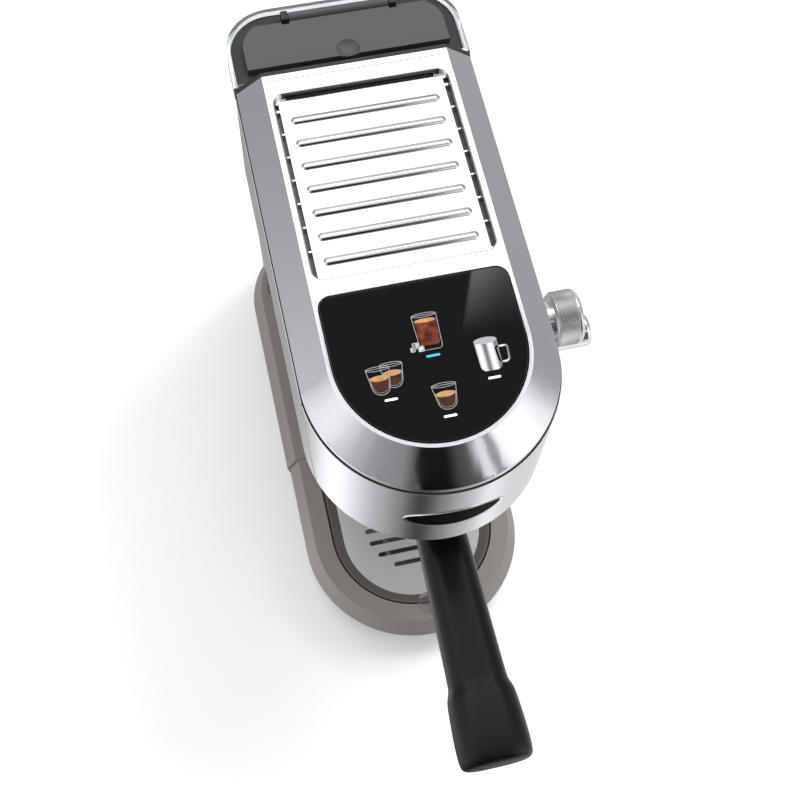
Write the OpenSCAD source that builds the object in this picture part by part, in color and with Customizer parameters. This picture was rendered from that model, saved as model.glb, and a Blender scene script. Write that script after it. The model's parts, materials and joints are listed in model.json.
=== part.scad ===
// Slim pump espresso machine with a touch display, a cup-warmer head and a bayonet portafilter.
// Millimetres. X to the right, Y to the back, Z up. The origin is on the table under the group's axis.

/* [Head] */
// Half width of the head, also the radius of its round front
head_r = 70; // [62:1:80]
// Height of the flat top rim above the table
head_top = 303; // [285:1:330]
// Depth of the head behind the group's axis
head_back = 190; // [150:1:220]
// Height of the sloping bezel round the top
bezel_h = 14.4; // [8:0.2:20]
// Width of the sloping bezel at the sides, seen from above
bezel_w = 16; // [8:0.2:20]
// How much wider the bezel is in front than at the sides
bezel_front = 4; // [0:0.2:8]
// Height of the upright lip under the bezel
bezel_lip = 2.4; // [0.6:0.1:4]
// Height of the steel side walls and of the front cowl
cowl_h = 76.6; // [50:0.2:90]
// Wall of the steel head shell
shell_t = 1.6; // [1:0.1:3]
// Gap of a panel seam
seam = 1.1; // [0.3:0.1:1.8]
// How far back the seam of the front cowl starts, at its top
cowl_seam_y = -6; // [-20:1:10]
// Rake of the seam of the front cowl, forward at the bottom
cowl_rake = 16; // [0:1:30]
// Height of the middle of the badge plate
badge_z = 248; // [235:1:270]
// Width of the badge plate
badge_w = 55; // [20:1:80]
// Height of the badge plate
badge_h = 22.5; // [4:0.5:26]

/* [Top] */
// Radius of the round front of the display glass
glass_r = 51.6; // [40:0.2:60]
// Straight rear edge of the display glass
glass_back = 45; // [30:1:60]
// Radius of the glass's rear corners
glass_corner = 7; // [2:1:15]
// Thickness of the display glass
glass_t = 3; // [2:0.5:5]
// Half width of the recess of the cup plate
recess_x = 50.2; // [40:0.2:60]
// Front and rear edge of the recess of the cup plate
recess_y = [56, 176];
// Depth of the recess
recess_d = 4; // [2:0.5:6]
// Sheet thickness of the cup plate
plate_t = 1.2; // [0.8:0.1:2]
// Number of stamped ribs
rib_n = 7; // [3:1:12]
// Distance from one rib to the next
rib_pitch = 15.3; // [10:0.1:25]
// Half length of a rib
rib_x = 40.3; // [20:0.1:44]
// Radius of a rib
rib_r = 2.4; // [1:0.1:4]
// Place of the front rib
rib_y0 = 70; // [60:0.5:90]
// Width of the drain slots beside and behind the ribs
slot_w = 3; // [1.5:0.1:4]
// Half length of the drain slot behind the ribs
rear_slot_x = 43; // [20:1:44]
// Length of the bridge between two slots
slot_bridge = 2; // [1:0.1:5]

/* [Base] */
// Half width of the base at its widest line
base_x = 76; // [68:1:90]
// Rear end of the base
base_back = 250; // [220:1:280]
// Radius of the rear corners of the base
base_corner = 60; // [20:1:66]
// Height of the widest line
wide_z = 24; // [12:1:30]
// Height of the top of the base and of the tray's rim
base_top = 38; // [30:1:60]
// Inset of the top edge from the widest line
top_inset = 6.5; // [2:0.5:12]
// Inset of the bottom edge from the widest line
bottom_inset = 4; // [0:0.5:10]
// Wall of the plastic housings
wall = 2.6; // [1.6:0.1:4]
// Height of the rubber feet under the base
foot_h = 2.4; // [1:0.1:6]
// Radius of the rubber feet
foot_r = 9; // [5:0.5:14]

/* [Drip tray] */
// Radius of the round front of the tray
tray_r = 74.4; // [60:0.2:86]
// Place of the centre of the tray's round front
tray_y = -5.5; // [-20:0.5:5]
// Seam between the tray and the base
tray_back = 59; // [50:1:75]
// Half width of the opening in the tray's rim
well_r = 56; // [45:0.5:64]
// Width of the sloping frame round the grid
frame_w = 7.5; // [4:0.5:12]
// How far the tray pulls out
tray_travel = 140; // [60:5:200]
// Radius of the scoop in the front of the tray's rim
scoop_r = 11; // [8:0.5:16]

/* [Column] */
// Half width of the column
column_x = 62; // [50:1:68]
// Front face of the column
column_front = 66; // [60:1:90]
// Radius of the column's front corners
column_corner = 14; // [4:1:30]

/* [Group] */
// Underside of the group collar
collar_z = 187; // [180:0.5:200]
// Outer radius of the group collar
collar_r = 40; // [36:0.5:46]
// Radius of the mouth of the collar
mouth_r = 31; // [29:0.1:33]
// Height of the bayonet ledges
ledge_h = 3.4; // [2:0.1:6]
// Reach of a portafilter lug beyond its ring
lug_reach = 4.6; // [2:0.1:6]
// Height of a lug
lug_h = 4.4; // [2:0.1:6]
// Angle that one lug covers
lug_angle = 34; // [20:1:44]
// Turn from the loading place to the locked place
lock_turn = 45; // [35:1:55]
// Running clearance between the lugs and the collar
lug_gap = 0.3; // [0.2:0.05:0.6]

/* [Portafilter] */
// Outer radius of the portafilter's ring
ring_r = 30.6; // [28:0.1:32]
// Inner radius of the filter basket
basket_r = 25.6; // [22:0.1:27]
// Depth of the filter basket
basket_d = 24; // [14:0.5:30]
// Sheet of the filter basket
basket_t = 0.8; // [0.5:0.1:1.5]
// Height of the axis of the handle
handle_z = 176; // [165:0.5:185]
// Start of the grip, from the group's axis
handle_start = 44; // [40:1:60]
// Place of the grip's shoulder
shoulder_y = 150; // [110:1:170]
// End of the grip
handle_end = 192; // [150:1:220]
// Width of the grip at its start and at its shoulder
grip_w = [29.5, 34];
// Height of the grip at its start and at its shoulder
grip_h = [25, 27];
// Width and height of the thick end of the grip
butt = [42.5, 33];

/* [Steam] */
// Place of the knob's axis
knob_y = 30.5; // [15:0.5:60]
// Height of the knob's axis
knob_z = 254; // [240:0.5:270]
// Radius of the knob
knob_r = 16; // [10:0.5:20]
// Start and end of the knurled part, from the middle of the machine
knurl_x = [80.6, 92.9];
// Number of knurl grooves along the grip
knurl_n = 40; // [24:2:60]
// Outer face of the knob's cap
knob_end = 95.3; // [92.5:0.1:104]
// Place of the wand joint's axis
wand_y = 34; // [15:0.5:60]
// Height of the wand joint's axis
wand_z = 225; // [220:0.5:232]
// Radius of the barrel of the wand joint
barrel_r = 10; // [7:0.5:12]
// End of the barrel
barrel_end = 107.5; // [98:0.5:115]
// Place of the wand's tube, from the middle of the machine
wand_x = 84.5; // [82:0.5:92]
// Radius of the wand's tube
wand_r = 4.2; // [3:0.1:6]
// Lower end of the wand
wand_low = 82; // [60:1:120]

/* [Tank] */
// Half width of the tank at its foot and under its rim
tank_x = [63.6, 67.4];
// Half width of the tank's rim
tank_rim_x = 70; // [66:0.5:76]
// Front face of the tank
tank_front = 193.4; // [193:0.1:200]
// Rear face of the tank
tank_back = 246; // [230:1:262]
// Radius of the tank's rear corners
tank_corner = 26; // [10:1:40]
// Height of the tank's rim
tank_top = 292; // [270:1:300]
// Wall of the tank
tank_t = 2.4; // [1.5:0.1:4]
// Thickness of the lid
lid_t = 4; // [2:0.5:8]

/* [Hidden] */
$fn = 96;
fit = 0.3;                                  // gap between bodies that don't fit into each other
run = 0.06;                                 // radial clearance of a shaft in its bore
eps = 0.01;
shoulder_z = head_top - bezel_h;            // where the bezel meets the walls
cowl_z = shoulder_z - cowl_h;               // lower edge of the head
floor_t = 4;
floor_top = cowl_z + floor_t;
lug_z = collar_z + ledge_h + lug_gap;       // underside of the lugs when locked
ring_top = lug_z + lug_h + 3.6;
ring_floor = ring_top - basket_d - 10;
rib_end = rib_y0 + (rib_n - 1) * rib_pitch;
steel = [0.80, 0.80, 0.82];
satin = [0.62, 0.62, 0.65];
taupe = [0.55, 0.52, 0.49];
dark = [0.13, 0.13, 0.14];

// ---- outlines -------------------------------------------------------------------------------
// D outline of the head: round front, straight sides, square back
module d_plan(r, back) {
  intersection() {
    circle(r);
    translate([-r, -r]) square([2 * r, r + back]);
  }
  translate([-r, 0]) square([2 * r, back]);
}
// band swept along the D outline; children() is its section, x from the middle and y up
module d_sweep(back) {
  rotate([0, 0, 180]) rotate_extrude(angle = 180) children();
  for (side = [0, 1]) mirror([side, 0, 0])
    translate([0, back, 0]) rotate([90, 0, 0]) linear_extrude(back) children();
}
module round_rect(x0, x1, y0, y1, r) {
  translate([x0 + r, y0]) square([x1 - x0 - 2 * r, y1 - y0]);
  translate([x0, y0 + r]) square([x1 - x0, y1 - y0 - 2 * r]);
  for (x = [x0 + r, x1 - r], y = [y0 + r, y1 - r]) translate([x, y]) circle(r);
}
// plan of the rear of the base, from y0 back, set in by inset
module rear_plan(inset, y0) {
  x = base_x - inset;
  straight = base_back - base_corner;
  translate([-x, y0]) square([2 * x, straight - y0]);
  translate([-(base_x - base_corner), straight - 1]) square([2 * (base_x - base_corner), base_corner - inset + 1]);
  for (s = [-1, 1]) translate([s * (base_x - base_corner), straight]) circle(base_corner - inset);
}
// section of the outer wall of the base: x = 0 is the widest line
module base_wall() {
  polygon([[-bottom_inset, foot_h], [0, wide_z], [-top_inset, base_top], [-top_inset - wall, base_top],
    [-top_inset - wall, base_top - wall], [-wall, wide_z], [-bottom_inset - wall, foot_h]]);
}

// ---- base -----------------------------------------------------------------------------------
module base_housing() color(taupe) difference() {
  union() {
    straight = base_back - base_corner;
    y0 = tray_back + fit;
    for (side = [0, 1]) mirror([side, 0, 0]) {
      translate([base_x, straight, 0]) rotate([90, 0, 0]) linear_extrude(straight - y0) base_wall();
      translate([base_x - base_corner, straight, 0]) rotate_extrude(angle = 90)
        translate([base_corner, 0]) base_wall();
    }
    translate([-(base_x - base_corner), base_back, 0]) rotate([90, 0, 90])
      linear_extrude(2 * (base_x - base_corner)) base_wall();
    // deck, floor and the wall behind the tray
    translate([0, 0, base_top - wall]) linear_extrude(wall) rear_plan(top_inset + 1, y0);
    translate([0, 0, foot_h]) linear_extrude(wall) rear_plan(bottom_inset + 1, y0);
    translate([-base_x + top_inset + 1, y0, foot_h])
      cube([2 * (base_x - top_inset - 1), wall, base_top - foot_h - 1]);
    // tongue under the tray
    translate([0, 0, foot_h]) linear_extrude(wall) {
      translate([0, tray_y]) circle(tray_r - 14);
      translate([-tray_r + 14, tray_y]) square([2 * (tray_r - 14), y0 - tray_y + 1]);
    }
  }
  for (p = foot_places) translate([p[0], p[1], foot_h - 1]) cylinder(r = 3, h = wall + 2);
  translate([0, tank_port_y, base_top - wall - 1]) cylinder(r = 9, h = wall + 2);
  translate([0, base_back - wall - 10, inlet_z]) rotate([-90, 0, 0]) cylinder(r = 6, h = 20);
  translate([-12, pump_y + 24, base_top - wall - 1]) cube([24, 34, wall + 2]);
}
foot_places = [[-42, -28], [42, -28], [-50, 205], [50, 205]];
tank_port_y = 218;
inlet_z = 18;
module rubber_feet() color(dark) for (p = foot_places) translate([p[0], p[1], 0]) {
  cylinder(r1 = foot_r - 1, r2 = foot_r, h = foot_h);
  cylinder(r = 3 - run, h = foot_h + wall);
}
module tank_seat() color(dark) difference() {
  union() {
    translate([0, tank_port_y, base_top]) cylinder(r = 13, h = 2);
    translate([0, tank_port_y, base_top - 12]) cylinder(r = 9 - run, h = 13);
  }
  translate([0, tank_port_y, base_top - 13]) cylinder(r = 5, h = 16);
}
module cord_inlet() color(dark) difference() {
  union() {
    translate([0, base_back - 8.7, inlet_z]) rotate([-90, 0, 0]) cylinder(r = 6 - run, h = 10);
    translate([0, base_back + fit, inlet_z]) rotate([-90, 0, 0]) cylinder(r1 = 9, r2 = 7.6, h = 3);
    translate([0, base_back - 8.7, inlet_z]) rotate([-90, 0, 0]) cylinder(r = 8.5, h = 3);
  }
  translate([0, base_back - 12, inlet_z]) rotate([-90, 0, 0]) cylinder(r = 3.6, h = 26);
}

// ---- column ---------------------------------------------------------------------------------
module column_plan(inset) {
  x = column_x - inset;
  r = column_corner - inset;
  translate([-x, column_front + column_corner]) square([2 * x, head_back - column_front - column_corner]);
  translate([-x + r, column_front + inset]) square([2 * (x - r), column_corner]);
  for (s = [-1, 1]) translate([s * (x - r), column_front + column_corner]) circle(r);
}
module column_shell() color(taupe) difference() {
  translate([0, 0, base_top]) linear_extrude(cowl_z - base_top) difference() {
    column_plan(0);
    difference() {
      column_plan(wall);
      translate([-90, head_back - 8]) square([180, 20]);
    }
    translate([-column_x + wall + 4, head_back - 9]) square([2 * (column_x - wall - 4), 20]);
  }
  // opening for the mains switch
  translate([column_x - wall - 1, switch_y - 7, switch_z - 10.5]) cube([wall + 2, 14, 21]);
}
module rear_panel() color(taupe) {
  w = column_x - wall - 4 - fit;
  translate([-w, head_back - 5, base_top]) cube([2 * w, 3, cowl_z - base_top - fit]);
  for (z = [90, 150]) translate([-w, head_back - 8, z]) cube([2 * w, 3 + eps, 2]);
}
switch_y = 160;
switch_z = 66;
module switch_frame() color(dark) difference() {
  union() {
    translate([column_x, switch_y - 9, switch_z - 12.5]) cube([1.4, 18, 25]);
    translate([column_x - 10, switch_y - 6.7, switch_z - 10.2]) cube([10 + eps, 13.4, 20.4]);
  }
  translate([column_x - 7, switch_y - 5, switch_z - 8.5]) cube([10, 10, 17]);
  translate([column_x - 2.5, switch_y - 8, switch_z]) rotate([-90, 0, 0]) cylinder(r = 1, h = 16);
}
module power_rocker() color(dark) {
  translate([column_x - 2.5, 0, switch_z]) rotate([0, 4, 0]) difference() {
    translate([-1, switch_y - 4.7, -8]) cube([5, 9.4, 16]);
    translate([22.4, switch_y - 6, 0]) rotate([-90, 0, 0]) cylinder(r = 19.2, h = 12);
  }
  translate([column_x - 2.5, switch_y - 6.4, switch_z]) rotate([-90, 0, 0]) cylinder(r = 1 - run, h = 12.8);
}

// ---- head -----------------------------------------------------------------------------------
// region behind the raked seam of the front cowl, seen from the side
module behind_seam(y, extra) {
  rotate([90, 0, 90]) translate([0, 0, -100]) linear_extrude(200)
    polygon([[y, shoulder_z + 1], [y - cowl_rake, cowl_z - 1], [y + extra, cowl_z - 1], [y + extra, shoulder_z + 1]]);
}
module head_wall(back) {
  translate([0, 0, cowl_z]) d_sweep(back) translate([head_r - shell_t, 0])
    square([shell_t, cowl_h - seam]);
}
module head_side_panels() color(satin) {
  difference() {
    intersection() {
      head_wall(head_back);
      behind_seam(cowl_seam_y + seam, 300);
    }
    translate([0, knob_y, knob_z]) rotate([0, 90, 0]) cylinder(r = 8.2, h = 100);
    translate([0, wand_y, wand_z]) rotate([0, 90, 0]) cylinder(r = 8.2, h = 100);
  }
}
// black plate that closes the head towards the tank; it follows the slope of the bezel
module head_backplate() color(dark) translate([0, head_back + fit, 0]) rotate([90, 0, 0])
  translate([0, 0, -back_t]) linear_extrude(back_t)
    polygon([[-head_r + 0.4, cowl_z], [head_r - 0.4, cowl_z], [head_r - 0.4, shoulder_z + bezel_lip],
      [top_r, head_top - 0.4], [-top_r, head_top - 0.4], [-head_r + 0.4, shoulder_z + bezel_lip]]);
back_t = tank_front - head_back - 2 * fit;
module front_cowl() color(steel) difference() {
  head_wall(2);
  behind_seam(cowl_seam_y, 300);
  badge_shape(0.15, head_r - shell_t / 2, head_r + 5);
}
// oval plate on the front of the cowl, bent to its curve
module oval(half_w, half_h)
  polygon([for (a = [0 : oval_step : 360 - oval_step]) [half_w * cos(a), half_h * sin(a)]]);
oval_step = 6;
module badge_shape(gap, inner, outer) intersection() {
  translate([0, 0, badge_z - badge_h]) difference() {
    cylinder(r = outer, h = 2 * badge_h);
    translate([0, 0, -1]) cylinder(r = inner, h = 2 * badge_h + 2);
  }
  translate([0, 0, badge_z]) rotate([90, 0, 0]) linear_extrude(head_r + 10)
    oval(badge_w / 2 + gap, badge_h / 2 + gap);
}
module badge_strip() color(dark) badge_shape(0, head_r - shell_t / 2 + 0.1, head_r + 0.5);

top_r = head_r - bezel_w;
// leans the round front of what it holds back by bezel_front at the height of the flat top
module lean_back() {
  k = bezel_front / bezel_h;
  multmatrix([[1, 0, 0, 0], [0, 1, k, -k * shoulder_z], [0, 0, 1, 0]]) children();
}
module top_bezel() color(steel) {
  rim = glass_r + fit;
  lip_z = shoulder_z + bezel_lip;
  difference() {
    lean_back() d_sweep(head_back) polygon([[head_r, shoulder_z], [head_r, lip_z], [top_r, head_top],
      [rim, head_top], [rim, head_top - 2], [top_r - 0.5, head_top - 2], [head_r - 2.6, lip_z - 0.4],
      [head_r - 2.6, shoulder_z]]);
    translate([-100, head_back, shoulder_z - 1]) cube([200, 20, bezel_h + 2]);
  }
  // rear bar
  translate([-top_r, head_back - 4, head_top - bezel_h + 4]) cube([2 * top_r, 4, bezel_h - 4]);
}
module cup_plate() color(steel) {
  top = head_top;
  low = top - recess_d;
  r = 6;
  difference() {
    union() {
      translate([0, 0, top - plate_t]) linear_extrude(plate_t)
        translate([-glass_r, glass_back + 1]) square([2 * glass_r, head_back - 4 - fit - glass_back - 1]);
      translate([0, 0, low - plate_t]) linear_extrude(recess_d)
        round_rect(-recess_x - plate_t, recess_x + plate_t, recess_y[0] - plate_t, recess_y[1] + plate_t,
          r + plate_t);
    }
    translate([0, 0, low]) linear_extrude(recess_d + 1)
      round_rect(-recess_x, recess_x, recess_y[0], recess_y[1], r);
    slot_l = rib_pitch - slot_bridge;
    translate([0, 0, low - plate_t - 1]) {
      for (side = [-1, 1], i = [0 : rib_n - 1])
        translate([side * (recess_x - slot_w / 2) - slot_w / 2, rib_y0 + i * rib_pitch - slot_l / 2, 0])
          cube([slot_w, slot_l, plate_t + 2]);
      translate([-rear_slot_x, recess_y[1] - slot_w, 0]) cube([2 * rear_slot_x, slot_w, plate_t + 2]);
    }
  }
  for (i = [0 : rib_n - 1]) intersection() {
    translate([0, rib_y0 + i * rib_pitch, low - 0.4]) {
      rotate([0, 90, 0]) cylinder(r = rib_r, h = 2 * rib_x, center = true);
      for (s = [-1, 1]) translate([s * rib_x, 0, 0]) sphere(r = rib_r);
    }
    translate([-60, 0, low - plate_t / 2]) cube([120, 200, 10]);
  }
}
module glass_plan(r, back, corner) {
  translate([0, bezel_front]) d_plan(r, back - corner - bezel_front);
  translate([-(r - corner), 0]) square([2 * (r - corner), back]);
  for (s = [-1, 1]) translate([s * (r - corner), back - corner]) circle(corner);
}
module display_glass() color([0.03, 0.03, 0.035]) translate([0, 0, head_top - glass_t + 0.2])
  linear_extrude(glass_t) glass_plan(glass_r - 0.2, glass_back, glass_corner);
module touch_board() color([0.05, 0.25, 0.15]) translate([0, 0, head_top - glass_t - 1.4])
  linear_extrude(1.6) glass_plan(glass_r - 4, glass_back - 5, glass_corner - 2);

pillars = [[-54, 58], [54, 58], [-54, 150], [54, 150], [-48, -38], [48, -38]];
module head_frame() color(dark) difference() {
  union() {
    frame_z = shoulder_z - 3;
    r = head_r - shell_t - fit;
    translate([0, 0, frame_z]) linear_extrude(3) difference() {
      d_plan(r, head_back);
      difference() {
        translate([0, bezel_front]) d_plan(glass_r - 2, head_back - 20 - bezel_front);
        translate([-90, glass_back]) square([180, 11]);
      }
    }
    // seat of the glass and of the cup plate
    glass_seat = head_top - glass_t - 1.4;
    translate([0, 0, frame_z]) linear_extrude(glass_seat - frame_z) difference() {
      glass_plan(glass_r - 1.6, glass_back - 2, glass_corner);
      glass_plan(glass_r - 6, glass_back - 6, glass_corner - 2);
    }
    for (side = [0, 1]) mirror([side, 0, 0]) translate([recess_x, recess_y[0] + 20, frame_z])
      cube([3, 80, head_top - recess_d - plate_t - frame_z]);
    for (p = pillars) translate([p[0], p[1], floor_top]) cylinder(r = 5, h = frame_z - floor_top + eps);
  }
  for (p = pillars) translate([p[0], p[1], floor_top - 1]) cylinder(r = 1.5 + run, h = 13);
}
module head_floor() color(dark) difference() {
  r = head_r - shell_t - fit;
  translate([0, 0, cowl_z]) linear_extrude(floor_t) d_plan(r, head_back);
  translate([0, 0, cowl_z - 1]) cylinder(r = collar_r + fit, h = floor_t + 2);
  for (p = pillars) translate([p[0], p[1], cowl_z - 1]) cylinder(r = 1.9, h = floor_t + 2);
  translate([-30, 93, cowl_z - 1]) cube([60, 67, floor_t + 2]);
}
module floor_screws() color(steel) for (p = pillars) translate([p[0], p[1], cowl_z - 2]) difference() {
  union() {
    cylinder(r1 = 2.6, r2 = 3.4, h = 2);
    cylinder(r = 1.5, h = 14);
  }
  for (a = [0, 90]) rotate([0, 0, a]) translate([-1.6, -0.35, -1]) cube([3.2, 0.7, 2]);
}

// ---- water and steam ------------------------------------------------------------------------
nose_r = mouth_r - 3.4;
screen_z = ring_top + 3;
block_z = floor_top + 4;
module thermoblock() color(satin) {
  translate([0, 0, block_z]) cylinder(r = 42, h = 26);
  translate([0, 0, block_z + 26]) cylinder(r = 34, h = 8);
  translate([0, 0, screen_z + 1]) cylinder(r = nose_r, h = block_z - screen_z);
  translate([-10, 30, block_z + 6]) cube([20, 24, 14]);
  for (s = [-1, 1]) translate([s * 26, 0, block_z + 34]) cylinder(r = 4, h = 4);
  translate([30, 20, block_z + 10]) cube([14, 14, 12]);
}
module group_collar() color(steel) difference() {
  union() {
    translate([0, 0, collar_z]) cylinder(r = collar_r, h = block_z - collar_z);
    translate([0, 0, floor_top]) cylinder(r = collar_r + 5, h = 4);
  }
  translate([0, 0, collar_z - 1]) cylinder(r = mouth_r, h = 60);
  // groove in which the lugs turn
  translate([0, 0, lug_z - lug_gap]) cylinder(r = ring_r + lug_reach + 0.5, h = lug_h + 2 * lug_gap);
  // mouths through which the lugs rise, one turn away from the locked place
  for (k = [0 : 2]) rotate([0, 0, k * 120 + lug_start - lock_turn - 3]) translate([0, 0, collar_z - 1])
    rotate_extrude(angle = lug_angle + 6) translate([mouth_r - 1, 0])
      square([ring_r + lug_reach + lug_gap - mouth_r + 1, ledge_h + 2]);
}
lug_start = 90 - lug_angle / 2;
module shower_screen() color(steel) difference() {
  translate([0, 0, screen_z]) cylinder(r = nose_r - 1, h = 1);
  translate([0, 0, screen_z - 1]) cylinder(r = 2.6, h = 3);
  for (ring = [1 : 3], k = [0 : 6 * ring - 1]) rotate([0, 0, k * 60 / ring])
    translate([ring * 6.2, 0, screen_z - 1]) cylinder(r = 0.9, h = 3, $fn = 16);
}
module screen_screw() color(steel) difference() {
  translate([0, 0, screen_z - 1.6]) cylinder(r1 = 3.6, r2 = 4.4, h = 1.6);
  translate([0, 0, screen_z - 2]) cylinder(r = 1.8, h = 1.4, $fn = 6);
}
module group_gasket() color(dark) translate([0, 0, ring_top + fit]) difference() {
  cylinder(r = mouth_r - 0.1, h = 7);
  translate([0, 0, -1]) cylinder(r = nose_r + 0.1, h = 9);
}
brew_back = 92;
module brew_valve() color(dark) {
  translate([-14, 62, floor_top]) cube([28, brew_back - 62, 32]);
  translate([0, 77, floor_top + 32]) cylinder(r = 9, h = 10);
  translate([0, 62, block_z + 13]) rotate([90, 0, 0]) cylinder(r = 4, h = 7.7);
}
pump_y = 128;
pump_z = 82;
module pump() color(dark) {
  translate([-24, pump_y - 24, pump_z - 22]) cube([48, 44, 44]);
  translate([0, pump_y + 20 - eps, pump_z]) rotate([-90, 0, 0]) cylinder(r = 13, h = 16);
  translate([0, pump_y + 36 - 2 * eps, pump_z]) rotate([-90, 0, 0]) cylinder(r = 4, h = 8);
  translate([0, pump_y - 24 + eps, pump_z]) rotate([90, 0, 0]) cylinder(r = 13, h = 14);
  translate([0, pump_y - 31, pump_z + 12]) cylinder(r = 4, h = 12);
}
module pump_mounts() color([0.2, 0.2, 0.2]) for (y = [pump_y - 14, pump_y + 10])
  translate([-42, y - 4, base_top]) difference() {
    cube([84, 8, pump_z - 22 - base_top]);
    translate([10, -1, 4]) cube([64, 10, pump_z - 22 - base_top - 8]);
  }
module control_board() color([0.05, 0.25, 0.15]) {
  translate([-44, column_front + wall + 6, 100]) cube([88, 1.6, 84]);
  for (x = [-40, 40], z = [104, 180]) translate([x, column_front + wall, z]) rotate([-90, 0, 0]) cylinder(r = 3, h = 6);
  translate([-30, column_front + wall + 7.6, 140]) cube([24, 16, 24]);
  translate([8, column_front + wall + 7.6, 120]) cube([30, 10, 20]);
}
hose_r = 3.6;
// quarter bend in the YZ plane round (y, z), in quadrant q counted from +Y towards +Z
module bend(y, z, b, r, q) translate([0, y, z]) rotate([q * 90, 0, 0]) rotate([90, 0, 90])
  rotate_extrude(angle = 90) translate([b, 0]) circle(r, $fn = 32);
module along_y(y0, y1, z, r) translate([0, y0, z]) rotate([-90, 0, 0]) cylinder(r = r, h = y1 - y0, $fn = 32);
module along_z(y, z0, z1, r) translate([0, y, z0]) cylinder(r = r, h = z1 - z0, $fn = 32);
module suction_hose() color([0.85, 0.85, 0.85]) {
  z = base_top - 20;
  b = 5;
  inlet = pump_y + 44 + fit;
  y = inlet + 6;
  along_z(tank_port_y, z + b, base_top - 12 - fit, hose_r);
  bend(tank_port_y - b, z + b, b, hose_r, 3);
  along_y(y + b, tank_port_y - b, z, hose_r);
  bend(y + b, z + b, b, hose_r, 2);
  along_z(y, z + b, pump_z - b, hose_r);
  bend(y - b, pump_z - b, b, hose_r, 0);
  along_y(inlet, y - b, pump_z, hose_r);
}
module pressure_hose() color([0.85, 0.85, 0.85]) {
  y = pump_y - 31;
  z = block_z + 16;
  b = y - brew_back - fit;
  along_z(y, pump_z + 24 + fit, z - b, hose_r);
  bend(y - b, z - b, b, hose_r, 0);
}
valve_x = [44.5, head_r - shell_t - fit];
module steam_valve() color([0.75, 0.6, 0.3]) difference() {
  union() {
    translate([valve_x[0], knob_y, knob_z]) rotate([0, 90, 0]) cylinder(r = 11, h = valve_x[1] - valve_x[0]);
    translate([valve_x[0] + 4, wand_y - 8, wand_z - 8 + 4]) cube([16, 16, knob_z - wand_z]);
    translate([valve_x[0] + 4, wand_y, wand_z]) rotate([0, 90, 0]) cylinder(r = 7, h = valve_x[1] - valve_x[0] - 4);
  }
  translate([valve_x[0] + 8, knob_y, knob_z]) rotate([0, 90, 0]) cylinder(r = 4, h = 60);
}
module steam_pipe() color(steel) translate([0, knob_y - 4.5, 0]) rotate([0, 0, -90]) {
  x = 36;
  b = 5;
  along_z(x, block_z + 22 + fit, knob_z - b, 2);
  bend(x + b, knob_z - b, b, 2, 1);
  along_y(x + b, valve_x[0] - fit, knob_z, 2);
}
module wand_socket() color(steel) difference() {
  union() {
    translate([head_r, wand_y, wand_z]) rotate([0, 90, 0]) cylinder(r = barrel_r + 1.5, h = 3);
    translate([head_r - shell_t, wand_y, wand_z]) rotate([0, 90, 0]) cylinder(r = 8, h = shell_t + eps);
  }
  translate([head_r - 5, wand_y, wand_z]) rotate([0, 90, 0]) cylinder(r = 6, h = 30);
}

// ---- portafilter ----------------------------------------------------------------------------
seat_r = basket_r + basket_t;
module portafilter_ring() color(steel) difference() {
  union() {
    translate([0, 0, ring_floor]) rotate_extrude() polygon([[0, 0], [14, 0], [ring_r - 2, 8], [ring_r, 11],
      [ring_r, ring_top - ring_floor], [0, ring_top - ring_floor]]);
    for (k = [0 : 2]) rotate([0, 0, k * 120 + lug_start]) translate([0, 0, lug_z])
      rotate_extrude(angle = lug_angle) translate([ring_r - 1, 0]) square([lug_reach + 1, lug_h]);
    // boss that carries the handle
    translate([0, -ring_r + 3, handle_z]) rotate([90, 0, 0]) cylinder(r = 8.5, h = 9);
  }
  // funnel under the basket, and the basket's seat
  translate([0, 0, ring_floor + 3]) cylinder(r1 = 9, r2 = seat_r + 0.6, h = 6.5);
  translate([0, 0, ring_floor + 9.5 - eps]) cylinder(r = seat_r + 0.6, h = 80);
  translate([0, 0, ring_top - 1.2]) cylinder(r = seat_r + 2.3, h = 5);
  // groove of the basket spring
  translate([0, 0, ring_top - 9]) cylinder(r = seat_r + 1.5, h = 1.6);
  translate([0, 0, ring_floor - 1]) cylinder(r = 6, h = 8);
}
module filter_basket() color(steel) difference() {
  z = ring_top - basket_d;
  union() {
    translate([0, 0, z]) cylinder(r1 = seat_r - 2, r2 = seat_r, h = 3);
    translate([0, 0, z + 3 - eps]) cylinder(r = seat_r, h = basket_d - 3);
    translate([0, 0, ring_top - 1]) cylinder(r = seat_r + 2, h = 1);
  }
  translate([0, 0, z + basket_t]) cylinder(r1 = basket_r - 2, r2 = basket_r, h = 3 - basket_t + eps);
  translate([0, 0, z + 3]) cylinder(r = basket_r, h = basket_d);
  for (ring = [1 : 3], k = [0 : 6 * ring - 1]) rotate([0, 0, k * 60 / ring])
    translate([ring * 5.4, 0, z - 1]) cylinder(r = 0.7, h = 3, $fn = 16);
}
module basket_spring() color(steel) translate([0, 0, ring_top - 8.2])
  rotate([0, 0, 20]) rotate_extrude(angle = 320) translate([seat_r + 0.75, 0]) circle(r = 0.6, $fn = 24);
spout_low = ring_floor - 30;
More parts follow.
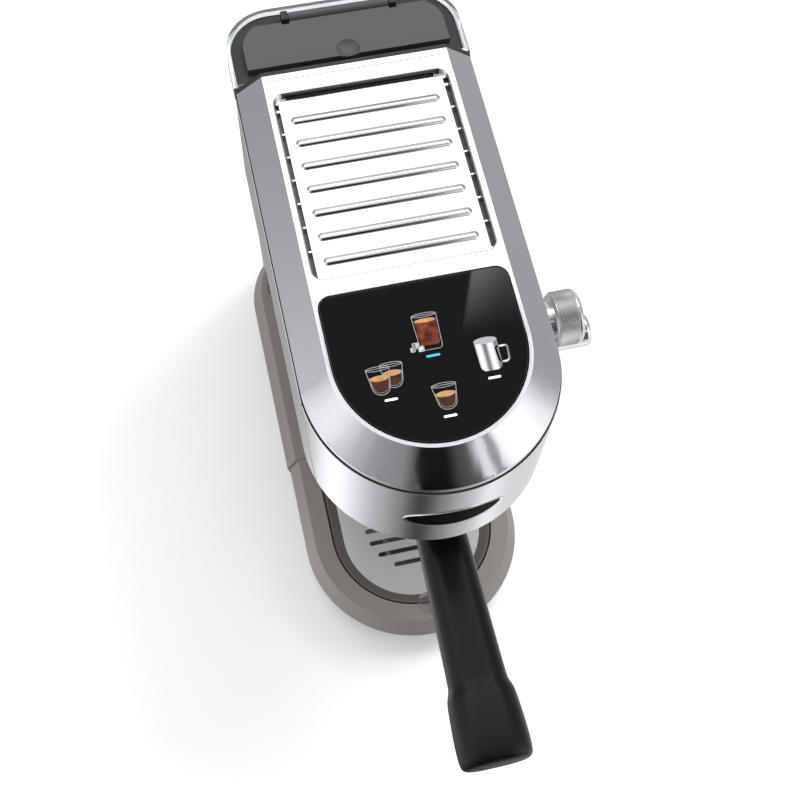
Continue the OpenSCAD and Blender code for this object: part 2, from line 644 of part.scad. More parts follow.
module twin_spout() color(steel) difference() {
  union() {
    translate([0, 0, ring_floor - 6]) cylinder(r = 9, h = 6);
    for (s = [-1, 1]) {
      translate([0, 0, ring_floor - 6]) rotate([0, s * 118, 0]) cylinder(r = 7, h = 15);
      translate([s * 13.2, 0, spout_low]) cylinder(r1 = 5.4, r2 = 7, h = 17);
      translate([s * 13.2, 0, ring_floor - 13]) sphere(r = 7);
    }
  }
  translate([0, 0, ring_floor - 8]) cylinder(r = 5, h = 12);
  for (s = [-1, 1]) {
    translate([0, 0, ring_floor - 6]) rotate([0, s * 118, 0]) cylinder(r = 4, h = 15);
    translate([s * 13.2, 0, spout_low - 1]) cylinder(r1 = 3.6, r2 = 4.6, h = 19);
  }
}
module handle_ferrule() color(steel) translate([0, -ring_r - 6, handle_z]) rotate([90, 0, 0]) {
  cylinder(r = 8.5, h = handle_start - ring_r - 6);
}
// one slice of the grip: a rounded bar across, w wide and h high, at y from the group's axis
module grip_slice(y, w, h, r) translate([0, -y, handle_z]) rotate([90, 0, 0]) linear_extrude(0.1)
  round_rect(-w / 2, w / 2, -h / 2, h / 2, r, $fn = 32);
module handle_grip() color(dark) {
  hull() {
    grip_slice(handle_start, grip_w[0] - 3, grip_h[0] - 3, 9, $fn = 32);
    grip_slice(handle_start + 3, grip_w[0], grip_h[0], 10, $fn = 32);
    grip_slice(shoulder_y - 4, grip_w[1], grip_h[1], 11, $fn = 32);
  }
  hull() {
    grip_slice(shoulder_y - 4.1, grip_w[1], grip_h[1], 11, $fn = 32);
    grip_slice(shoulder_y + 3, butt[0] - 3.4, butt[1] - 3, 13, $fn = 32);
  }
  hull() {
    grip_slice(shoulder_y + 2.9, butt[0] - 3.4, butt[1] - 3, 13, $fn = 32);
    grip_slice(handle_end - 12, butt[0], butt[1], 14, $fn = 32);
    grip_slice(handle_end - 3, butt[0] - 1, butt[1] - 1, 14, $fn = 32);
  }
}
module handle_cap() color([0.2, 0.2, 0.21]) hull() {
  grip_slice(handle_end - 2.9, butt[0] - 4, butt[1] - 4, 12, $fn = 32);
  grip_slice(handle_end, butt[0] - 8, butt[1] - 8, 10, $fn = 32);
}

// ---- drip tray ------------------------------------------------------------------------------
tray_floor = foot_h + wall + fit;
well_floor = tray_floor + 2;
module tray_plan(r) translate([0, tray_y]) d_plan(r, tray_back - tray_y);
module tray_wall() {
  polygon([[-bottom_inset - 0.4, tray_floor], [0, wide_z], [-top_inset, base_top],
    [-(tray_r - well_r), base_top], [-(tray_r - well_r), base_top - 5], [-(tray_r - well_r) + 3, base_top - 5],
    [-(tray_r - well_r) + 3, base_top - 3], [-top_inset - 1.4, base_top - 3],
    [-wall, wide_z], [-bottom_inset - wall, well_floor], [-bottom_inset - wall, tray_floor]]);
}
module drip_tray() color(taupe) difference() {
  union() {
    translate([0, tray_y, 0]) {
      rotate([0, 0, 180]) rotate_extrude(angle = 180) translate([tray_r, 0]) tray_wall();
      for (side = [0, 1]) mirror([side, 0, 0]) translate([tray_r, tray_back - tray_y, 0]) rotate([90, 0, 0])
        linear_extrude(tray_back - tray_y) tray_wall();
    }
    translate([0, 0, tray_floor]) linear_extrude(well_floor - tray_floor) tray_plan(tray_r - bottom_inset - 1);
    translate([0, 0, tray_floor]) linear_extrude(base_top - tray_floor) intersection() {
      tray_plan(tray_r - top_inset - 1);
      translate([-90, tray_back - wall]) square([180, wall]);
    }
    translate([0, 0, base_top - 3]) linear_extrude(3) intersection() {
      tray_plan(tray_r - top_inset - 1);
      translate([-90, tray_back - 9]) square([180, 9]);
    }
    // guide of the level float
    translate([0, float_y, tray_floor]) difference() {
      cylinder(r = 9, h = 14);
      translate([0, 0, 2]) cylinder(r = 7.4, h = 20);
    }
  }
  // scoop for a fingertip in front
  translate([0, tray_y - well_r, base_top + scoop_r - 4]) sphere(r = scoop_r);
}
float_y = 33;
module grid_plan(r) translate([0, tray_y])
  d_plan(r, tray_back - 9 - fit - tray_y - (well_r - fit - r));
frame_r = well_r - fit;
plate_r = frame_r - frame_w;
frame_foot = well_floor + fit;
frame_low = base_top - 9;
grid_z = base_top - 6.6;
grid_t = 1.2;
module grid_frame() color(taupe) {
  leg_r = plate_r + frame_w / 2 - 1;
  seat_r = plate_r + 0.4;
  slope_z = grid_z + grid_t;
  difference() {
    union() {
      translate([0, 0, frame_low]) linear_extrude(base_top - 0.6 - frame_low) grid_plan(frame_r);
      for (s = [-1, 1], p = [[leg_r, 36], [leg_r * 0.7, tray_y - leg_r * 0.7]])
        translate([s * p[0], p[1], frame_foot]) cylinder(r = 2.6, h = frame_low - frame_foot + eps);
    }
    translate([0, 0, grid_z]) linear_extrude(6) grid_plan(seat_r);
    // slope from the frame's rim down to the plate
    translate([0, tray_y, slope_z]) cylinder(r1 = seat_r, r2 = frame_r - 1, h = base_top - slope_z);
    translate([0, tray_back - 9 - well_r + seat_r, 0]) rotate([90, 0, 0])
      linear_extrude(tray_back - 9 - well_r + seat_r - tray_y)
        polygon([[-seat_r, slope_z], [seat_r, slope_z], [frame_r - 1, base_top], [1 - frame_r, base_top]]);
    translate([0, 0, frame_low - 1]) linear_extrude(6) difference() {
      grid_plan(plate_r - 3);
      translate([-60, -4]) square([120, 3]);
      for (x = [-20, 20]) translate([x - 1.5, -80]) square([3, 160]);
    }
  }
}
module drip_grid() color(satin) translate([0, 0, grid_z]) difference() {
  linear_extrude(grid_t) grid_plan(plate_r);
  for (i = [-3 : 3]) let (half = sqrt(32 * 32 - (i * 9) * (i * 9)))
    translate([0, -2 + i * 9, -1]) linear_extrude(4) round_rect(-half, half, -1.6, 1.6, 1.5);
  translate([0, float_y, -1]) cylinder(r = 4, h = 4);
}
module level_float() color([0.75, 0.15, 0.1]) translate([0, float_y, tray_floor + 2 + fit]) {
  cylinder(r = 6.8, h = 10);
  cylinder(r = 3.2, h = grid_z - 0.6 - tray_floor - 2 - fit);
}

// ---- tank -----------------------------------------------------------------------------------
module tank_plan(x, r, inset) intersection() {
  union() {
    translate([-x + inset, tank_front]) square([2 * (x - inset), tank_back - r - tank_front]);
    translate([-x + r, tank_back - r - 1]) square([2 * (x - r), r - inset + 1]);
    for (s = [-1, 1]) translate([s * (x - r), tank_back - r]) circle(r - inset);
  }
  translate([-x, tank_front + inset]) square([2 * x, tank_back - tank_front]);
}
tank_z = base_top + 2 + fit;
shelf_z = tank_top - 9;
module water_tank() color([0.7, 0.78, 0.82, 0.5]) difference() {
  union() {
    hull() {
      translate([0, 0, tank_z]) linear_extrude(0.1) tank_plan(tank_x[0], tank_corner, 0, $fn = 48);
      translate([0, 0, shelf_z - 1]) linear_extrude(0.1) tank_plan(tank_x[1], tank_corner, 0, $fn = 48);
    }
    translate([0, 0, shelf_z - 2]) linear_extrude(tank_top - shelf_z + 2) tank_plan(tank_rim_x, tank_corner + 2, 0);
  }
  hull() {
    translate([0, 0, tank_z + 3]) linear_extrude(0.1) tank_plan(tank_x[0], tank_corner, tank_t, $fn = 48);
    translate([0, 0, shelf_z]) linear_extrude(0.1) tank_plan(tank_x[1], tank_corner, tank_t, $fn = 48);
  }
  translate([0, 0, shelf_z]) linear_extrude(20) tank_plan(tank_rim_x, tank_corner + 2, tank_t);
  translate([0, tank_port_y, tank_z - 1]) cylinder(r = 8, h = 6);
}
// black collar in the rim of the tank, with the bearings of the lid
collar_top = tank_top - 3;
lid_inset = 10;
hinge_y = tank_back - lid_inset + 1;
hinge_z = collar_top + 3.3;
hinge_x = 30;
module tank_collar() color(dark) difference() {
  union() {
    translate([0, 0, shelf_z]) linear_extrude(collar_top - shelf_z) difference() {
      tank_plan(tank_rim_x, tank_corner + 2, tank_t + fit);
      tank_plan(tank_rim_x, tank_corner + 2, lid_inset + 2);
    }
    for (s = [-1, 1]) translate([s * (hinge_x + 2 + fit) - 2, hinge_y - 3, collar_top - eps])
      cube([4, 6, hinge_z - collar_top + 3]);
  }
  for (s = [-1, 1]) translate([s * (hinge_x + 2), hinge_y, hinge_z]) rotate([0, 90, 0])
    cylinder(r = 1.5 + run, h = 12, center = true);
}
module tank_lid() color([0.32, 0.33, 0.34]) {
  difference() {
    union() {
      translate([0, 0, collar_top + fit]) linear_extrude(lid_t) difference() {
        tank_plan(tank_rim_x, tank_corner + 2, lid_inset);
        translate([-90, hinge_y - 3.4]) square([180, 30]);
      }
      translate([-hinge_x, hinge_y - 5, collar_top + fit]) cube([2 * hinge_x, 5, lid_t - 1]);
      translate([0, hinge_y, hinge_z]) rotate([0, 90, 0]) cylinder(r = 3, h = 2 * hinge_x, center = true);
      translate([0, hinge_y, hinge_z]) rotate([0, 90, 0]) cylinder(r = 1.5, h = 2 * hinge_x + 8, center = true);
    }
    // room for the bearing blocks as the lid swings up
    for (s = [-1, 1]) translate([s * (hinge_x + 2 + fit) - 2 - fit, hinge_y - 5, collar_top])
      cube([4 + 2 * fit, 3, lid_t + 1]);
    // finger recess
    translate([0, tank_front + lid_inset + 4, collar_top + lid_t + 10]) sphere(r = 12);
  }
}
module tank_valve() color(dark) {
  translate([0, tank_port_y, tank_z - 1.4]) cylinder(r = 4.6, h = 3);
  translate([0, tank_port_y, tank_z]) cylinder(r = 8 - run, h = 3);
  translate([0, tank_port_y, tank_z + 3]) cylinder(r = 9.4, h = 4);
  translate([0, tank_port_y, tank_z + 7]) cylinder(r = 3, h = 5);
}

// ---- knob and wand --------------------------------------------------------------------------
module knob_at(x) translate([x, knob_y, knob_z]) rotate([0, 90, 0]) children();
module knob_spindle() color(steel) {
  knob_at(valve_x[0] + 9) cylinder(r = 4 - run, h = knurl_x[0] + 6 - valve_x[0] - 9);
  knob_at(head_r + fit) cylinder(r = 7.6, h = 4);
  knob_at(head_r + 4) cylinder(r = 11, h = knurl_x[0] - head_r - 4 - 1.2);
}
// steel grip cut by grooves along it that cross grooves round it
knurl_rings = 4;
module steam_knob() color(satin) {
  knob_at(knurl_x[0]) difference() {
    cylinder(r = knob_r, h = knurl_x[1] - knurl_x[0]);
    translate([0, 0, -1]) cylinder(r = 4, h = 7.3);
    for (i = [0 : knurl_n - 1]) rotate([0, 0, i * 360 / knurl_n])
      translate([knob_r + 0.2, 0, -1]) rotate([0, 0, 45]) translate([-0.55, -0.55, 0]) cube([1.1, 1.1, 20]);
    for (i = [1 : knurl_rings]) translate([0, 0, i * (knurl_x[1] - knurl_x[0]) / (knurl_rings + 1)])
      rotate_extrude() polygon([[knob_r - 0.58, 0], [knob_r + 0.2, -0.78], [knob_r + 0.2, 0.78]]);
  }
  knob_at(knurl_x[0] - 1.2) difference() {
    cylinder(r1 = knob_r - 1.2, r2 = knob_r - 0.4, h = 1.2 + eps);
    translate([0, 0, -1]) cylinder(r = 4, h = 4);
  }
}
module knob_cap() color(steel) knob_at(knurl_x[1]) {
  cylinder(r = knob_r - 0.4, h = 0.8);
  translate([0, 0, 0.8]) cylinder(r1 = knob_r - 0.4, r2 = knob_r - 1.6, h = knob_end - knurl_x[1] - 0.8);
}
barrel_start = head_r + 3 + fit;
barrel_edge = 3;
module wand_barrel() color(steel) {
  translate([0, wand_y, wand_z]) rotate([0, 90, 0]) {
    translate([0, 0, barrel_start]) cylinder(r = barrel_r, h = barrel_end - barrel_edge - barrel_start);
    translate([0, 0, barrel_end - barrel_edge]) {
      rotate_extrude() translate([barrel_r - barrel_edge, 0]) intersection() {
        circle(barrel_edge);
        square(barrel_edge);
      }
      cylinder(r = barrel_r - barrel_edge + eps, h = barrel_edge);
    }
    translate([0, 0, valve_x[1] + fit]) cylinder(r = 6 - run, h = barrel_start - valve_x[1] - fit + eps);
  }
}
module wand_tube() color(steel) difference() {
  translate([wand_x, wand_y, wand_low + 12]) cylinder(r = wand_r, h = wand_z - barrel_r - wand_low - 12 + 0.8);
  translate([0, wand_y, wand_z]) rotate([0, 90, 0]) cylinder(r = barrel_r, h = 200);
}
module wand_grip() color(dark) translate([wand_x, wand_y, 0]) difference() {
  union() {
    translate([0, 0, 136]) cylinder(r = 7, h = 44);
    translate([0, 0, 180]) cylinder(r1 = 7, r2 = 5.6, h = 4);
    translate([0, 0, 133]) cylinder(r1 = 5.8, r2 = 7, h = 3);
  }
  translate([0, 0, 130]) cylinder(r = wand_r + run, h = 60);
}
module steam_tip() color(steel) translate([wand_x, wand_y, wand_low]) difference() {
  union() {
    sphere(r = 5);
    cylinder(r = 5, h = 12);
  }
  for (k = [0 : 2]) rotate([0, 140, k * 120]) cylinder(r = 0.7, h = 12, $fn = 16);
}

base_housing();
rubber_feet();
column_shell();
rear_panel();
head_side_panels();
head_backplate();
front_cowl();
top_bezel();
cup_plate();
display_glass();
touch_board();
badge_strip();
head_frame();
head_floor();
floor_screws();
thermoblock();
group_collar();
shower_screen();
screen_screw();
group_gasket();
brew_valve();
pump();
pump_mounts();
control_board();
suction_hose();
pressure_hose();
steam_pipe();
steam_valve();
wand_socket();
tank_seat();
cord_inlet();
switch_frame();
power_rocker();
portafilter_ring();
filter_basket();
basket_spring();
twin_spout();
handle_ferrule();
handle_grip();
handle_cap();
drip_tray();
grid_frame();
drip_grid();
level_float();
water_tank();
tank_collar();
tank_valve();
tank_lid();
knob_spindle();
steam_knob();
knob_cap();
wand_barrel();
wand_tube();
wand_grip();
steam_tip();
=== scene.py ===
# %% [markdown]
# # A slim espresso machine in polished steel and warm grey plastic
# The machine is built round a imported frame: every working piece already exists at its real
# size. These cells load that frame, then give each visible piece its edges, its finish and
# its small details, light them as in a product studio, and set the camera.

# %% Load the frame
import json
import math

import bpy
from mathutils import Matrix, Vector


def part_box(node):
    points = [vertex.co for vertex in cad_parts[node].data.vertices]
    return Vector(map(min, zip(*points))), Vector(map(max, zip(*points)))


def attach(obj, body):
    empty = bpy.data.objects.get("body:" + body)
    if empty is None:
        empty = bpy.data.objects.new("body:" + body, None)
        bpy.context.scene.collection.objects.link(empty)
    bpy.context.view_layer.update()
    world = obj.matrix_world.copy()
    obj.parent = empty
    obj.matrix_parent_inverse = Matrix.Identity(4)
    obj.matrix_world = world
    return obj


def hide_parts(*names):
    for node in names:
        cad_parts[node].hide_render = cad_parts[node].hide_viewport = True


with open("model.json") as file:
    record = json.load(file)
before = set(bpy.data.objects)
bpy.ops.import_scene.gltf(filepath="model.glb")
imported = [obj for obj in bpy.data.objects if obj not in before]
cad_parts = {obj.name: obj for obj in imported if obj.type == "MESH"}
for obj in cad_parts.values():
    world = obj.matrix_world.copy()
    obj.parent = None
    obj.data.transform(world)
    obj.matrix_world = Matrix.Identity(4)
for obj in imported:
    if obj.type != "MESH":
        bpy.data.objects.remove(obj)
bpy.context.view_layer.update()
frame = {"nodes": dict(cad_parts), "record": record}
NODES = frame["nodes"]
bpy.ops.object.select_all(action="DESELECT")

MM = 0.001

# %% [markdown]
# ## Camera
# The camera looks steeply down on the front left corner and is rolled a little.
# A camera is easiest to aim with its own three axes: where its back points, where its right
# points, and the roll that turns those two about the line of sight.

# %% Aim the camera
CAMERA_AT = Vector((-0.1006, -0.2722, 0.9112))
AZIMUTH, ELEVATION, ROLL = map(math.radians, (-17.51, 66.52, 5.16))
LENS_MM, SENSOR_MM = 58.80, 36.0

camera_data = bpy.data.cameras.new("camera")
camera_data.lens, camera_data.sensor_width = LENS_MM, SENSOR_MM
camera = bpy.data.objects.new("camera", camera_data)
bpy.context.scene.collection.objects.link(camera)
bpy.context.scene.camera = camera
camera_back = Vector((math.sin(AZIMUTH) * math.cos(ELEVATION),
                      -math.cos(AZIMUTH) * math.cos(ELEVATION), math.sin(ELEVATION)))
camera_right = Vector((math.cos(AZIMUTH), math.sin(AZIMUTH), 0))
camera_up = camera_back.cross(camera_right)
turned = Matrix((camera_right, camera_up, camera_back)).transposed() @ Matrix.Rotation(ROLL, 3, "Z")
camera.matrix_world = Matrix.Translation(CAMERA_AT) @ turned.to_4x4()
print("camera is", round(CAMERA_AT.length, 3), "m from the origin")

# %% [markdown]
# ## Surface maths as Python
# A finish is more than one colour: roughness wanders, paint has a fine tooth, steel has a
# grain. Those fields are built from shader nodes. Wrapping a socket in a small class lets
# `0.2 + 0.1 * grain` add the Math nodes by itself, which reads like the sum that it is.

# %% A socket that can be calculated with
class Field:
    """A number that changes over a surface: one socket of a material's node tree."""

    def __init__(self, tree, socket):
        self.tree, self.socket = tree, socket

    def maths(self, operation, first, second):
        node = self.tree.nodes.new("ShaderNodeMath")
        node.operation = operation
        for socket, value in zip(node.inputs, (first, second)):
            plug(self.tree, socket, value)
        return Field(self.tree, node.outputs[0])

    def __add__(self, other):
        return self.maths("ADD", self, other)

    def __sub__(self, other):
        return self.maths("SUBTRACT", self, other)

    def __rsub__(self, other):
        return self.maths("SUBTRACT", other, self)

    def __mul__(self, other):
        return self.maths("MULTIPLY", self, other)

    def __pow__(self, other):
        return self.maths("POWER", self, other)

    def __rpow__(self, other):
        return self.maths("POWER", other, self)

    __radd__, __rmul__ = __add__, __mul__

    def clamped(self):
        """The same field, held between 0 and 1."""
        return self.maths("MINIMUM", self.maths("MAXIMUM", self, 0), 1)


def plug(tree, socket, value):
    """Links a Field to a socket, or sets a plain value on it."""
    if isinstance(value, Field):
        tree.links.new(value.socket, socket)
    else:
        socket.default_value = value


# %% A finish: one material and its nodes
class Finish:
    """A material with one Principled shader; its constants are set on the shader itself."""

    def __init__(self, name, colour, roughness, **constants):
        self.material = bpy.data.materials.new(name)
        self.material.use_nodes = True
        self.tree = self.material.node_tree
        self.shader = self.tree.nodes["Principled BSDF"]
        self.set("Base Color", (*colour, 1))
        self.set("Roughness", roughness)
        for label, value in constants.items():
            self.set(label.replace("_", " ").title().replace("Ior", "IOR"), value)

    def set(self, label, value):
        plug(self.tree, self.shader.inputs[label], value)
        return self

    def add(self, kind, settings=None, sockets=None, out=0):
        """Any node: its settings first, then the values or links of its sockets."""
        node = self.tree.nodes.new(kind)
        for key, value in (settings or {}).items():
            setattr(node, key, value)
        for key, value in (sockets or {}).items():
            plug(self.tree, node.inputs[key], value)
        return Field(self.tree, node.outputs[out])

    def place(self, stretch=(1, 1, 1)):
        """Object coordinates in metres, stretched so that a pattern can run along a piece."""
        where = self.add("ShaderNodeTexCoord", out=3)
        return self.add("ShaderNodeMapping", sockets={0: where, 3: stretch})

    def axes(self):
        """X, Y and Z over the piece, in millimetres, as three fields."""
        where = self.add("ShaderNodeTexCoord", out=3)
        split = self.add("ShaderNodeSeparateXYZ", sockets={0: where}).socket.node.outputs
        return [Field(self.tree, split[axis]) * (1 / MM) for axis in "XYZ"]

    def noise(self, per_metre, detail=2, stretch=(1, 1, 1)):
        return self.add("ShaderNodeTexNoise", sockets={
            "Vector": self.place(stretch), "Scale": per_metre, "Detail": detail})

    def blend(self, share, first, second):
        """A colour between two others."""
        mix = self.add("ShaderNodeMix", {"data_type": "RGBA"}, {0: share}, out=2)
        for index, colour in ((6, first), (7, second)):
            value = colour if isinstance(colour, Field) else (*colour, 1)
            plug(self.tree, mix.socket.node.inputs[index], value)
        return mix

    def bump(self, height, depth_mm, strength=1.0):
        normal = self.add("ShaderNodeBump", sockets={
            "Height": height, "Distance": depth_mm * MM, "Strength": strength})
        return self.set("Normal", normal)


def srgb(red, green, blue):
    """A colour as a paint chart gives it, 0 to 255, in the renderer's linear light."""
    def linear(value):
        value /= 255
        return value / 12.92 if value <= 0.04045 else ((value + 0.055) / 1.055) ** 2.4
    return tuple(linear(value) for value in (red, green, blue))


# %% [markdown]
# ## Finishes
# Sheet steel here is polished but not a mirror: light spreads a little, and a very fine
# grain runs along the sheet. The grain is noise stretched a hundredfold, used both in the
# roughness and as a bump of a few thousandths of a millimetre.

# %% Metals
ROUND_THE_SIDES, ALONG_Z, EVEN = (0.02, 0.02, 1), (1, 1, 0.05), (1, 1, 1)


def steel(name, tone, roughness, grain, stretch, spread=0.0, scale=900, depth=0.004):
    """Grain is how much the roughness changes; spread draws highlights out across the grain."""
    finish = Finish(name, srgb(*tone), roughness, metallic=1.0, anisotropic=spread,
                    anisotropic_rotation=0.25)
    lines = finish.noise(scale, 3, stretch)
    finish.set("Roughness", roughness - grain / 2 + grain * lines)
    return finish.bump(lines, depth, 0.35)


def chrome(name):
    finish = Finish(name, srgb(236, 236, 238), 0.05, metallic=1.0)
    return finish.set("Roughness", 0.035 + 0.04 * finish.noise(90, 3))


# %% Plastics, glass and rubber
SHADE_DRIFT = 0.06


def moulded(name, tone, roughness, tooth=0.01, scale=2600, level=0.5, ior=1.45):
    """Plastic with a fine moulded tooth and a slow, slight change of gloss and shade."""
    finish = Finish(name, srgb(*tone), roughness, specular_ior_level=level, ior=ior)
    slow = finish.noise(14, 2)
    darker, lighter = ([value * share for value in srgb(*tone)]
                       for share in (1 - SHADE_DRIFT, 1 + SHADE_DRIFT))
    shade = finish.blend(slow, darker, lighter)
    finish.set("Base Color", shade)
    finish.set("Roughness", roughness - 0.05 + 0.1 * slow)
    return finish.bump(finish.noise(scale, 2), tooth, 0.5)


FINISHES = {
    "polished_steel": steel("brushed steel", (222, 222, 228), 0.13, 0.04, ROUND_THE_SIDES,
                            spread=0.5, scale=2600, depth=0.0014),
    "satin_steel": steel("satin steel", (206, 206, 211), 0.26, 0.08, ROUND_THE_SIDES,
                         spread=0.5, scale=2600, depth=0.002),
    "stainless": steel("bright pressed steel", (206, 206, 208), 0.22, 0.06, ALONG_Z),
    "chrome_plate": chrome("chrome plate"),
    "cast_aluminium": steel("cast aluminium", (176, 176, 178), 0.45, 0.1, EVEN),
    "brass_valve": steel("turned brass", (206, 168, 98), 0.25, 0.06, EVEN),
    "taupe_plastic": moulded("warm grey paint", (131, 125, 120), 0.42, 0.006),
    "black_plastic": moulded("black moulding", (38, 38, 39), 0.5),
    "black_soft_touch": moulded("satin black grip", (10, 10, 11), 0.31, 0.006, level=0.3),
    "black_glass": Finish("black display glass", srgb(13, 13, 14), 0.02),
    "circuit_board": moulded("green circuit board", (40, 110, 66), 0.4),
    "badge_plate": moulded("badge plate", (13, 13, 14), 0.3, 0.0, ior=1.03),
    "black_rubber": moulded("black rubber", (28, 28, 28), 0.7, 0.02),
    "silicone": moulded("silicone hose", (222, 222, 218), 0.45),
    "red_plastic": moulded("red float", (196, 34, 26), 0.3),
    "grey_plastic": moulded("dark grey lid", (68, 69, 71), 0.35, 0.006),
    "smoke_clear_plastic": Finish("clear smoked plastic", srgb(214, 220, 224), 0.05,
                                  transmission_weight=0.92, ior=1.49),
}
glass = FINISHES["black_glass"]
glass.set("Roughness", 0.012 + 0.02 * glass.noise(30, 2))
print(len(FINISHES), "finishes")

# %% Finishes for single pieces
POLISHED_PLATE = steel("polished plate", (224, 224, 228), 0.12, 0.03, EVEN, scale=40)
TRAY_STEEL = steel("satin tray steel", (240, 240, 244), 0.42, 0.08, EVEN, scale=300)
GUTTER_GREY = moulded("dark grey gutter", (92, 92, 96), 0.4, 0.006)
# Painted shade: the grid's frame gets a darker warm grey, standing for the shadow that falls into
# the tray's well under the head.
PAINTED_SHADE_TAUPE = moulded("painted shade on the warm grey in the tray", (88, 82, 78), 0.45, 0.006)

# %% Paint every node of the frame with its slot's finish
SLOT_OF = {part["node"]: part["material_slot"] for part in frame["record"]["subparts"]}
BODIES = frame["record"]["behaviour"]["bodies"]
BODY_OF = {node: body for body, nodes in BODIES.items() for node in nodes}
for node, piece in NODES.items():
    piece.data.materials.clear()
    piece.data.materials.append(FINISHES[SLOT_OF[node]].material)

# %% [markdown]
# ## Edges that catch the light
# A worked edge is never razor sharp. The simplest honest edge is a small bevel all round:
# the frame's own shape is copied, its loose triangles are welded and joined into whole
# faces, and a bevel modifier rounds every corner before it is applied.

# %% Copy a node, weld it and round its edges
def only(piece):
    bpy.ops.object.select_all(action="DESELECT")
    piece.select_set(True)
    bpy.context.view_layer.objects.active = piece


def apply_modifier(piece, kind, **settings):
    only(piece)
    bpy.ops.object.modifier_add(type=kind)
    modifier = piece.modifiers[-1]
    for key, value in settings.items():
        setattr(modifier, key, value)
    bpy.ops.object.modifier_apply(modifier=modifier.name)


def smooth(piece, degrees=30):
    only(piece)
    bpy.ops.object.shade_smooth_by_angle(angle=math.radians(degrees))


def finish_piece(piece, name, body, slot, replaced=(), finish=None):
    """Names a piece, paints it, sets it on its body and lets it stand for CAD nodes."""
    piece.name = piece.data.name = name
    piece.data.materials.clear()
    piece.data.materials.append((finish or FINISHES[slot]).material)
    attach(piece, body)
    if replaced:
        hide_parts(*replaced)
    return piece


def frame_copy(node):
    """The frame's own shape as a new, free piece."""
    piece = NODES[node].copy()
    piece.data = piece.data.copy()
    bpy.context.scene.collection.objects.link(piece)
    for key in list(piece.keys()):
        del piece[key]
    piece.parent = None
    only(piece)
    return piece


WELD_MM, FLAT_DEGREES, CORNER_DEGREES = 0.005, 0.6, 30


def edged(node, edge_mm, finish=None, reshape=None):
    """Replaces a node with its own shape, reshaped if wanted, and with rounded edges."""
    piece = frame_copy(node)
    if reshape:
        reshape(piece)
    bpy.ops.mesh.customdata_custom_splitnormals_clear()
    bpy.ops.object.mode_set(mode="EDIT")
    bpy.ops.mesh.select_all(action="SELECT")
    bpy.ops.mesh.remove_doubles(threshold=WELD_MM * MM)
    bpy.ops.mesh.dissolve_limited(angle_limit=math.radians(FLAT_DEGREES))
    bpy.ops.object.mode_set(mode="OBJECT")
    apply_modifier(piece, "BEVEL", width=edge_mm * MM, segments=2, limit_method="ANGLE",
                   angle_limit=math.radians(CORNER_DEGREES), use_clamp_overlap=True)
    smooth(piece, 28)
    apply_modifier(piece, "WEIGHTED_NORMAL", keep_sharp=True)
    return finish_piece(piece, node + "_edged", BODY_OF[node], SLOT_OF[node], [node], finish)


EDGES_MM = {"base_housing": 0.8, "column_shell": 0.5, "drip_tray": 0.7,
            "head_side_panels": 0.3, "front_cowl": 0.35, "display_glass": 0.4, "tank_collar": 0.4,
            "tank_lid": 0.5, "water_tank": 0.4, "knob_cap": 0.2, "wand_barrel": 0.5,
            "wand_grip": 0.6, "twin_spout": 0.3, "portafilter_ring": 0.4, "group_collar": 0.5,
            "head_backplate": 0.3, "drip_grid": 0.2, "switch_frame": 0.2, "power_rocker": 0.4,
            "cord_inlet": 0.3, "wand_socket": 0.3}
for node, edge in EDGES_MM.items():
    edged(node, edge, finish=TRAY_STEEL if node == "drip_grid" else None)
print(len(EDGES_MM), "nodes have worked edges")

# %% [markdown]
# ## Small tools for modelling by hand
# Each new piece starts as a primitive and is then worked in edit mode. Operators act on what
# is selected, so vertices and faces are first picked by their place or by their normal.

# %% Selecting by place, moving on, and cutting
def begin(kind, scale=(1, 1, 1), **settings):
    """Adds a primitive and puts its size and place into its mesh."""
    bpy.ops.object.select_all(action="DESELECT")
    getattr(bpy.ops.mesh, "primitive_" + kind + "_add")(**settings)
    bpy.context.object.scale = scale
    bpy.ops.object.transform_apply(location=True, rotation=True, scale=True)
    return bpy.context.object


def block(x_range, y_range, z_range):
    """A box between limits given in millimetres."""
    middle = [(low + high) / 2 * MM for low, high in (x_range, y_range, z_range)]
    return begin("cube", size=1, location=middle,
                 scale=[(high - low) * MM for low, high in (x_range, y_range, z_range)])


def pick(piece, mode, wanted):
    """Enters edit mode with just the wanted vertices, edges or faces selected."""
    only(piece)
    bpy.ops.object.mode_set(mode="EDIT")
    bpy.ops.mesh.select_mode(type=mode)
    bpy.ops.mesh.select_all(action="DESELECT")
    bpy.ops.object.mode_set(mode="OBJECT")
    mesh = piece.data
    items = {"VERT": mesh.vertices, "EDGE": mesh.edges, "FACE": mesh.polygons}[mode]
    for item in items:
        item.select = bool(wanted(item))
    bpy.ops.object.mode_set(mode="EDIT")


def leave():
    bpy.ops.object.mode_set(mode="OBJECT")


def upright(piece):
    """A test for edges that run up and down."""
    def test(edge):
        first, second = (piece.data.vertices[index].co for index in edge.vertices)
        return (first - second).xy.length < 1e-6
    return test


def cut(piece, cutter, operation="DIFFERENCE"):
    apply_modifier(piece, "BOOLEAN", object=cutter, operation=operation, solver="EXACT")
    bpy.data.objects.remove(cutter)


def join(pieces):
    bpy.ops.object.select_all(action="DESELECT")
    for piece in pieces:
        piece.select_set(True)
    bpy.context.view_layer.objects.active = pieces[0]
    bpy.ops.object.join()
    return pieces[0]


def copied(piece, shift):
    """A copy with its own mesh, moved by millimetres."""
    twin = piece.copy()
    twin.data = piece.data.copy()
    twin.data.transform(Matrix.Translation(Vector(shift) * MM))
    bpy.context.scene.collection.objects.link(twin)
    return twin


# %% [markdown]
# ## The cup plate
# The real plate is pressed sheet: a shallow pan with a soft edge all round, drain slots along
# its two sides and its rear, and seven low ribs that cups stand on. A block is given the
# pan's pocket first, then its edges are rounded, and only then are the slots cut, so that
# they stay crisp. The two horns in front fill the corners behind the round-cornered display.

